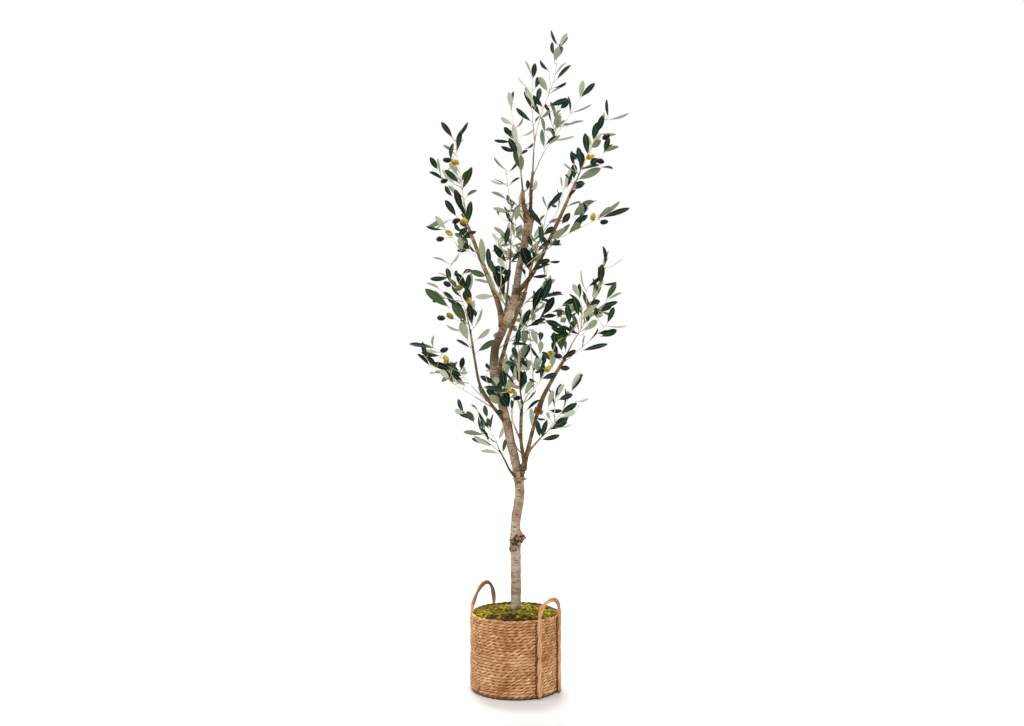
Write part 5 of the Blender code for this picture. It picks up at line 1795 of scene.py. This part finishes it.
def cover(cells):
    """Remember how near the view is closed at these pixels and beside them."""
    for (x, y), depth in cells:
        for cell in ((x + i, y + j) for i in (-1, 0, 1) for j in (-1, 0, 1)):
            nearest[cell] = min(depth, nearest.get(cell, depth))


def set_leaf(spray, foot_x, foot_y, step_x, step_y, shade, width):
    """One leaf of the lists, in front of every limb that it crosses."""
    tip_x, tip_y = foot_x + step_x, foot_y + step_y
    dice = Random("%s %d %d %d" % (spray, foot_x, foot_y, tip_x))
    start, root = root_at(foot_x, foot_y, dice)
    # what the leaf's length has to spare goes into a lean to the front or the back
    flat = (behind(tip_x, tip_y, root.y) - root).length
    spare = sqrt(max(0.0, HAND_LENGTH ** 2 - flat ** 2))
    lean = min(spare, MOST_LEAN * flat + SPARE_LEAN) * dice.choice((-1, -1, 1))
    if not cad_low.y + DEPTH_MARGIN < root.y + lean < cad_high.y - DEPTH_MARGIN:
        lean = -lean
    ahead = behind(tip_x, tip_y, root.y + lean) - root
    length = ahead.length
    ahead.normalize()
    # a leaf that looks narrow is turned on its edge
    sight = (CAMERA - root).normalized()
    facing = (sight - ahead * sight.dot(ahead)).normalized()
    wide = width * LEAF_BROADER * (root.y - CAMERA.y) / FOCAL_PIXELS
    full = max(LEAF_WIDTH * NARROWEST, wide)
    up = turned(facing, ahead.cross(facing), acos(wide / full) * dice.choice((-1, 1)))
    leaf = Leaf(spray, root, ahead, -up if shade == P else up, length, full, shade)
    hidden = max(depth - limb_front.get(cell, OPEN_VIEW) for cell, depth in blade_cells(leaf))
    if hidden > -LIMB_CLEAR:
        root = behind(foot_x, foot_y, root.y - hidden - LIMB_CLEAR)
        leaf = leaf._replace(root=root)
    draw_stalk(start, root)
    leaves.append(leaf)
    cover(blade_cells(leaf))
    space.add(spray, leaf_shape(root, ahead, up, length))


for (x, y), point, radius in stems:
    if radius:
        wide = round(radius * FOCAL_PIXELS / (point.y - CAMERA.y))
        cover(((round(x) + i, round(y)), point.y - radius) for i in range(1 - wide, wide))
limb_front = dict(nearest)
for row in FRONT_STEMS:
    stem_through(*row)
for spray, rows in FRONT_LEAVES.items():
    for row in rows:
        set_leaf(spray, *row)
print("leaves so far:", len(leaves), "view closed at", len(nearest), "pixels")

# %% [markdown]
# ## The leaves of the rule
# Behind the front the crown is filled by the rule, with the same seeds as the solids. A leaf only
# stays where the view from the front is closed already, and where it doesn't hide the leaves of the
# front. Those that reach furthest to the front and the back always stay, so that the crown stays as
# deep as its solids. Smaller pairs halfway between and short side shoots come last.

# %% The leaves of the rule
LEAF_TRIES = 4
CLEAR_OF_OTHERS = 0.0006
CLEAR_OF_OWN = 0.0004
ROOT_END_SHARE = 0.3
CLOSED_SHARE = 0.74
HIDING_SHARE = 0.2
OUTERMOST = 0.012
# sprays with narrow leaves
NARROW = {"mass_left_pale": 0.55, "mass_back_top": 0.55, "mass_back_high": 0.7,
          "mass_centre_back": 0.7}


def fits(name, root, ahead, up, length, clear_others, clear_own):
    """The leaf, if it fits among what is placed, and leaves the openings free."""
    width = LEAF_WIDTH * length / LEAF_LENGTH * NARROW.get(name, 1.0)
    leaf = Leaf(name, root, ahead, up, length, width, None)
    cells = list(blade_cells(leaf))
    closed = sum(cell in nearest for cell, _ in cells) / len(cells)
    hiding = sum(depth < nearest.get(cell, depth) for cell, depth in cells) / len(cells)
    tip = root + ahead * length
    outermost = min(tip.y - cad_low.y, cad_high.y - tip.y) < OUTERMOST
    if not outermost and (closed < CLOSED_SHARE or hiding > HIDING_SHARE):
        return None
    whole = leaf_shape(root, ahead, up, length, clear_others)
    outer = leaf_shape(root, ahead, up, length, clear_own, ROOT_END_SHARE)
    if space.touches(whole, name, False) or space.touches(outer, name, True):
        return None
    space.add(name, leaf_shape(root, ahead, up, length))
    return leaf


def keep_leaf(leaf, twig, share):
    grips.append(along_course(twig.fine, share))
    leaves.append(leaf._replace(root=grips[-1]))


for name, number, twig in every_twig:
    top = (1 - TOP_LEAF / course_length(twig.course), -1, 0)
    for share, pair, side in [top, *pair_places(twig)]:
        for attempt in range(LEAF_TRIES):
            dice = Random("%s %d %d %d %d" % (name, number, pair, side, attempt))
            pose = leaf_pose(dice, twig, share, pair, side)
            leaf = fits(name, *pose, CLEAR_OF_OTHERS, CLEAR_OF_OWN)
            if leaf:
                keep_leaf(leaf, twig, share)
                break
print("with the leaves of the solids:", len(leaves))

# %% The pairs in between
BETWEEN_SHARE = (0.60, 0.92)


def try_leaf(name, twig, share, pair, side, sizes, seed):
    """Place one more leaf, a little smaller, if it fits."""
    dice = Random("%s %s %d %d" % (name, seed, pair, side))
    for _ in range(LEAF_TRIES):
        root, ahead, up, _ = leaf_pose(dice, twig, share, pair, side)
        length = LEAF_LENGTH * dice.uniform(*sizes)
        if inside_reach(root + ahead * length):
            leaf = fits(name, root, ahead, up, length, 0.0, 0.0)
            if leaf:
                keep_leaf(leaf, twig, share)
                return


for name, number, twig in every_twig:
    for place in pair_places(twig, PAIR_STEP / 2):
        try_leaf(name, twig, *place, BETWEEN_SHARE, "between %d" % number)
print("with the pairs in between:", len(leaves))

# %% The side shoots
SHOOT_EVERY = 0.10
SHOOT_FIRST = (0.4, 0.8)
SHOOT_SPACING = (0.8, 1.3)
SHOOT_TOP_MARGIN = 0.05
SHOOT_LENGTH = (0.045, 0.075)
SHOOT_LEAN = (34, 56)
SHOOT_RADIUS = (0.0014, 0.0009)
SHOOT_TEST_RADIUS = 0.0015
SHOOT_STEP = 0.012
SHOOT_LEAF_SHARE = (0.55, 0.85)
SHOOT_PAIR_STEP = 0.026
SHOOT_TOP_PAIR = 0.006
SHOOT_FIRST_PAIR = 0.014
# how far a shoot has turned up along its twig at its middle and at its tip
SHOOT_BEND = 0.03
SHOOT_RISE = 0.14


def closed_at(point):
    x, y = seen(point)
    return nearest.get((round(x), round(y)), OPEN_VIEW) < point.y


def grow_shoot(name, seed, root, bend, tip, reach):
    """A short shoot with leaves, where there is room."""
    tube = tube_shape([root.lerp(tip, 0.3), tip], [SHOOT_TEST_RADIUS] * 2, TWIG_SIDES)
    if not inside_reach(tip) or not closed_at(tip) or not closed_at(bend):
        return
    if space.touches(tube, name, False) or space.touches(tube, name, True):
        return
    shoot = Limb([root, bend, tip], SHOOT_STEP, TWIG_SIDES, SHOOT_RADIUS)
    draw_twig(shoot.fine, *SHOOT_RADIUS)
    grips.append(root)
    try_leaf(name, shoot, 0.97, -1, 0, SHOOT_LEAF_SHARE, seed)
    for pair in range(int((reach - SHOOT_FIRST_PAIR) / SHOOT_PAIR_STEP) + 1):
        share = 1 - (SHOOT_TOP_PAIR + pair * SHOOT_PAIR_STEP) / reach
        for side in (0, 1):
            try_leaf(name, shoot, share, pair, side, SHOOT_LEAF_SHARE, seed)
    space.add(name, tube)


for name, number, twig in every_twig:
    dice = Random("shoots %s %d" % (name, number))
    length = course_length(twig.course)
    place = SHOOT_EVERY * dice.uniform(*SHOOT_FIRST)
    while place < length - SHOOT_TOP_MARGIN:
        axis = twig.axis(place / length)
        turn = dice.uniform(0, tau)
        ahead = turned(axis, round_axis(axis, turn), radians(dice.uniform(*SHOOT_LEAN)))
        reach = dice.uniform(*SHOOT_LENGTH)
        root = twig.at(place / length)
        bend = root + ahead * reach * 0.5 + axis * reach * SHOOT_BEND
        tip = root + ahead * reach + axis * reach * SHOOT_RISE
        place += SHOOT_EVERY * dice.uniform(*SHOOT_SPACING)
        grow_shoot(name, "shoot %d %.3f" % (number, place), root, bend, tip, reach)
print("with the side shoots:", len(leaves))

# %% [markdown]
# ## A leaf
# Each leaf is a thin blade of printed cloth: oblong, folded a little along its rib, bowed, dark
# green above and pale sage below. It is a closed shape of about forty faces. Colours are plain and
# dealt out by spray, because the leaves of one spray were printed together.

# %% The shape of a leaf
# stations along the leaf, from its foot to its tip; the first two are the stalk
LEAF_STATIONS = (0.0, 0.085, 0.17, 0.31, 0.48, 0.66, 0.82, 0.94)
LEAF_STALK_END = 0.085
LEAF_STALK_WIDTH = 0.0013
LEAF_BODY = 0.0007
LEAF_RIB_WIDTH = 0.0007
LEAF_OUTLINE = (0.95, 0.72)
LEAF_BOW = (0.010, 0.050)
LEAF_FOLD = (6, 24)
LEAF_SPIN = 14
UPPER, RIB, UNDER = range(3)
# the five sides of a section: from corner to corner, and what each shows
SECTION_SIDES = ((0, 1, UPPER), (1, 2, RIB), (2, 3, UPPER), (3, 4, UNDER), (4, 0, UNDER))


def leaf_half_width(place):
    """The blade's width at a place along it, as a share of its greatest width."""
    blade = (place - LEAF_STALK_END) / (1 - LEAF_STALK_END)
    low, high = LEAF_OUTLINE
    peak = low / (low + high)
    return (blade / peak) ** low * ((1 - blade) / (1 - peak)) ** high if 0 < blade < 1 else 0.0


def leaf_corners(leaf, dice):
    """Corners of one drawn leaf: five at each station and one at the tip."""
    _, root, ahead, up, length, width, _ = leaf
    side = ahead.cross(up).normalized()
    up = side.cross(ahead)
    bow = length * dice.uniform(*LEAF_BOW)
    fold = radians(dice.uniform(*LEAF_FOLD))
    spin = radians(dice.uniform(-LEAF_SPIN, LEAF_SPIN))
    corners = []
    for place in LEAF_STATIONS:
        middle = root + ahead * length * place + up * bow * sin(pi * place)
        turn = spin * (place - 0.3)
        across = turned(side, up, turn)
        over = turned(up, -side, turn)
        half = max(LEAF_STALK_WIDTH, width * leaf_half_width(place)) / 2
        lift = over * sin(fold) * half
        reach = across * cos(fold) * half
        rib = across * min(LEAF_RIB_WIDTH, half * 0.8) / 2
        body = over * (LEAF_BODY if place > LEAF_STALK_END else LEAF_STALK_WIDTH)
        corners += [middle - reach + lift, middle - rib, middle + rib, middle + reach + lift,
                    middle - body]
    corners.append(root + ahead * length)
    return corners


def leaf_faces():
    count = len(SECTION_SIDES)
    tip = len(LEAF_STATIONS) * count
    faces = [tuple(range(count))]
    shown = [UNDER]
    for a in range(0, tip, count):
        for first, second, side in SECTION_SIDES:
            end = (a + count + first, a + count + second) if a + count < tip else (tip,)
            faces.append((a + second, a + first, *end))
            shown.append(side)
    return faces, shown


# %% The leaves
LEAF_SHEEN = 0.07
LEAF_TOPS = [("leaf_deep", paint(13, 26, 12)), ("leaf_dark", paint(22, 48, 25)),
             ("leaf_blue", paint(22, 50, 39)), ("leaf_mid", paint(62, 84, 50))]
LEAF_UNDERSIDES = [("leaf_sage", paint(164, 172, 142)), ("leaf_pale", paint(192, 197, 174)),
                   ("leaf_grey", paint(122, 134, 106))]
LEAF_RIB = [("leaf_rib", paint(118, 134, 92))]
# how often a leaf has another tint than its spray
STRAY_TINT = 0.35
# upper side and underside of each spray in front
FRONT_TINTS = {
    "crown_left": (2, 1), "crown_tip": (2, 0), "crown_right": (1, 0), "left_high": (1, 0),
    "left_pale": (1, 0), "right_high": (2, 2), "right_arm": (2, 2), "front_high": (0, 0),
    "left_inner": (0, 0), "left_middle": (1, 0), "left_out": (0, 1), "low_left": (1, 1),
    "trunk_front": (2, 0), "centre": (2, 0), "middle_right": (0, 0), "right_out": (1, 0),
    "low_right": (2, 1)}
leaf_materials = [
    plain_finish(*tint, roughness, 900.0, 1.0, 0.15, 0.0003, sheen=LEAF_SHEEN)
    for tints, roughness in ((LEAF_TOPS, 0.5), (LEAF_UNDERSIDES, 0.65), (LEAF_RIB, 0.6))
    for tint in tints]
middle_green = len(LEAF_TOPS) - 1
faces, shown = leaf_faces()
leaf_pile = Pile()
for count, leaf in enumerate(leaves):
    spray = Random("tint %s" % leaf.spray)
    dice = Random("leaf %d" % count)
    usual = (spray.randrange(middle_green), spray.randrange(len(LEAF_UNDERSIDES)))
    top, below = FRONT_TINTS.get(leaf.spray, usual)
    if dice.random() < STRAY_TINT:
        top = dice.randrange(middle_green)
    if leaf.shade == M:
        top = middle_green
    if dice.random() < STRAY_TINT:
        below = dice.randrange(len(LEAF_UNDERSIDES))
    dealt = {UPPER: top, UNDER: len(LEAF_TOPS) + below, RIB: len(leaf_materials) - 1}
    leaf_pile.add(leaf_corners(leaf, dice), faces, [dealt[side] for side in shown])
show(leaf_pile.piece("leaves", leaf_materials, 70), "leaf", *[mass[0] for mass in MASSES])

# %% [markdown]
# ## Olives
# The olives are glossy drops with a short stalk, nearly black or still yellow-green. A turned
# outline with a slightly pointed end is enough, in two plain finishes with a clear coat.

# %% The olives
OLIVE_LENGTH = 0.026
OLIVE_WIDTH = 0.0172
OLIVE_RINGS = 9
OLIVE_SIDES = 14
OLIVE_SHEEN = 0.08
OLIVE_POINT = 0.10


def olive_finish(title, colour, darker):
    made = Finish(title, colour, 0.30, OLIVE_SHEEN, coat_weight=0.16, coat_roughness=0.05)
    patches = made.mapped(made.noise(made.place(), 55.0, 1.0), 0.42, 0.60)
    made.drive("Base Color", made.mix(patches, colour, darker))
    return made.material


def olive_shape(centre, ahead):
    verts = []
    for i in range(OLIVE_RINGS):
        angle = pi * (i + 0.35) / (OLIVE_RINGS - 0.3)
        point = 1.0 + OLIVE_POINT * max(0.0, -cos(angle)) ** 6
        along = -cos(angle) * OLIVE_LENGTH / 2 * point
        radius = sin(angle) * OLIVE_WIDTH / 2
        verts += [centre + round_axis(ahead, tau * k / OLIVE_SIDES) * radius + ahead * along
                  for k in range(OLIVE_SIDES)]
    return verts, tube_faces(OLIVE_RINGS, OLIVE_SIDES)


olive_finishes = [olive_finish("olive_black", paint(18, 6, 14), paint(36, 14, 22)),
                  olive_finish("olive_yellow", paint(204, 164, 20), paint(112, 104, 20))]
olive_pile = Pile()
for x, y, ripe, slope in OLIVES:
    dice = Random("olive %d %d" % (x, y))
    start, centre = root_at(x, y, dice, 0.0)
    draw_stalk(start, centre)
    slope = radians(slope)
    ahead = Vector((cos(slope), dice.uniform(-0.4, 0.4), sin(slope))).normalized()
    olive_pile.add(*olive_shape(centre, ahead), int(not ripe))
show(olive_pile.piece("olives", olive_finishes), "leaf")

# %% [markdown]
# ## The stems of the foliage
# A real twig ends where its last leaf sits. So each twig of the solids is drawn only as far as the
# last thing that is attached to it, and side twigs come before the stems that carry them.

# %% The stems of the foliage
GRIP_REACH = 0.005
STEM_ON_TIP = 0.8

for name, parent, height, *_ in MASSES:
    for number, twig in reversed(list(enumerate(twigs[name]))):
        joins_tip = number == 0 and height is None
        root_radius = limbs[parent].tip_radius * STEM_ON_TIP if joins_tip else TWIG_DRAWN_ROOT
        tree = KDTree(len(grips))
        for count, grip in enumerate(grips):
            tree.insert(grip, count)
        tree.balance()
        gripped = [i for i, point in enumerate(twig.fine) if tree.find(point)[2] < GRIP_REACH]
        last = gripped[-1] if gripped else 0
        if last >= 2:
            grips.append(twig.fine[0])
            draw_twig(twig.fine[:last + 1], root_radius, TWIG_TIP_RADIUS,
                      BARK_TO if joins_tip else 0.0)
show(twig_pile.piece("twigs", stem_finishes), "leaf")

# %% [markdown]
# ## Sizes
# The finished tree stays in the space of its solids. Both boxes are printed.

# %% The sizes
dressed_low, dressed_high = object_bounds()
boxes = {"cad": [list(cad_low), list(cad_high)],
         "visual": [list(dressed_low), list(dressed_high)]}
print("solids:", boxes["cad"])
print("dressed:", boxes["visual"])
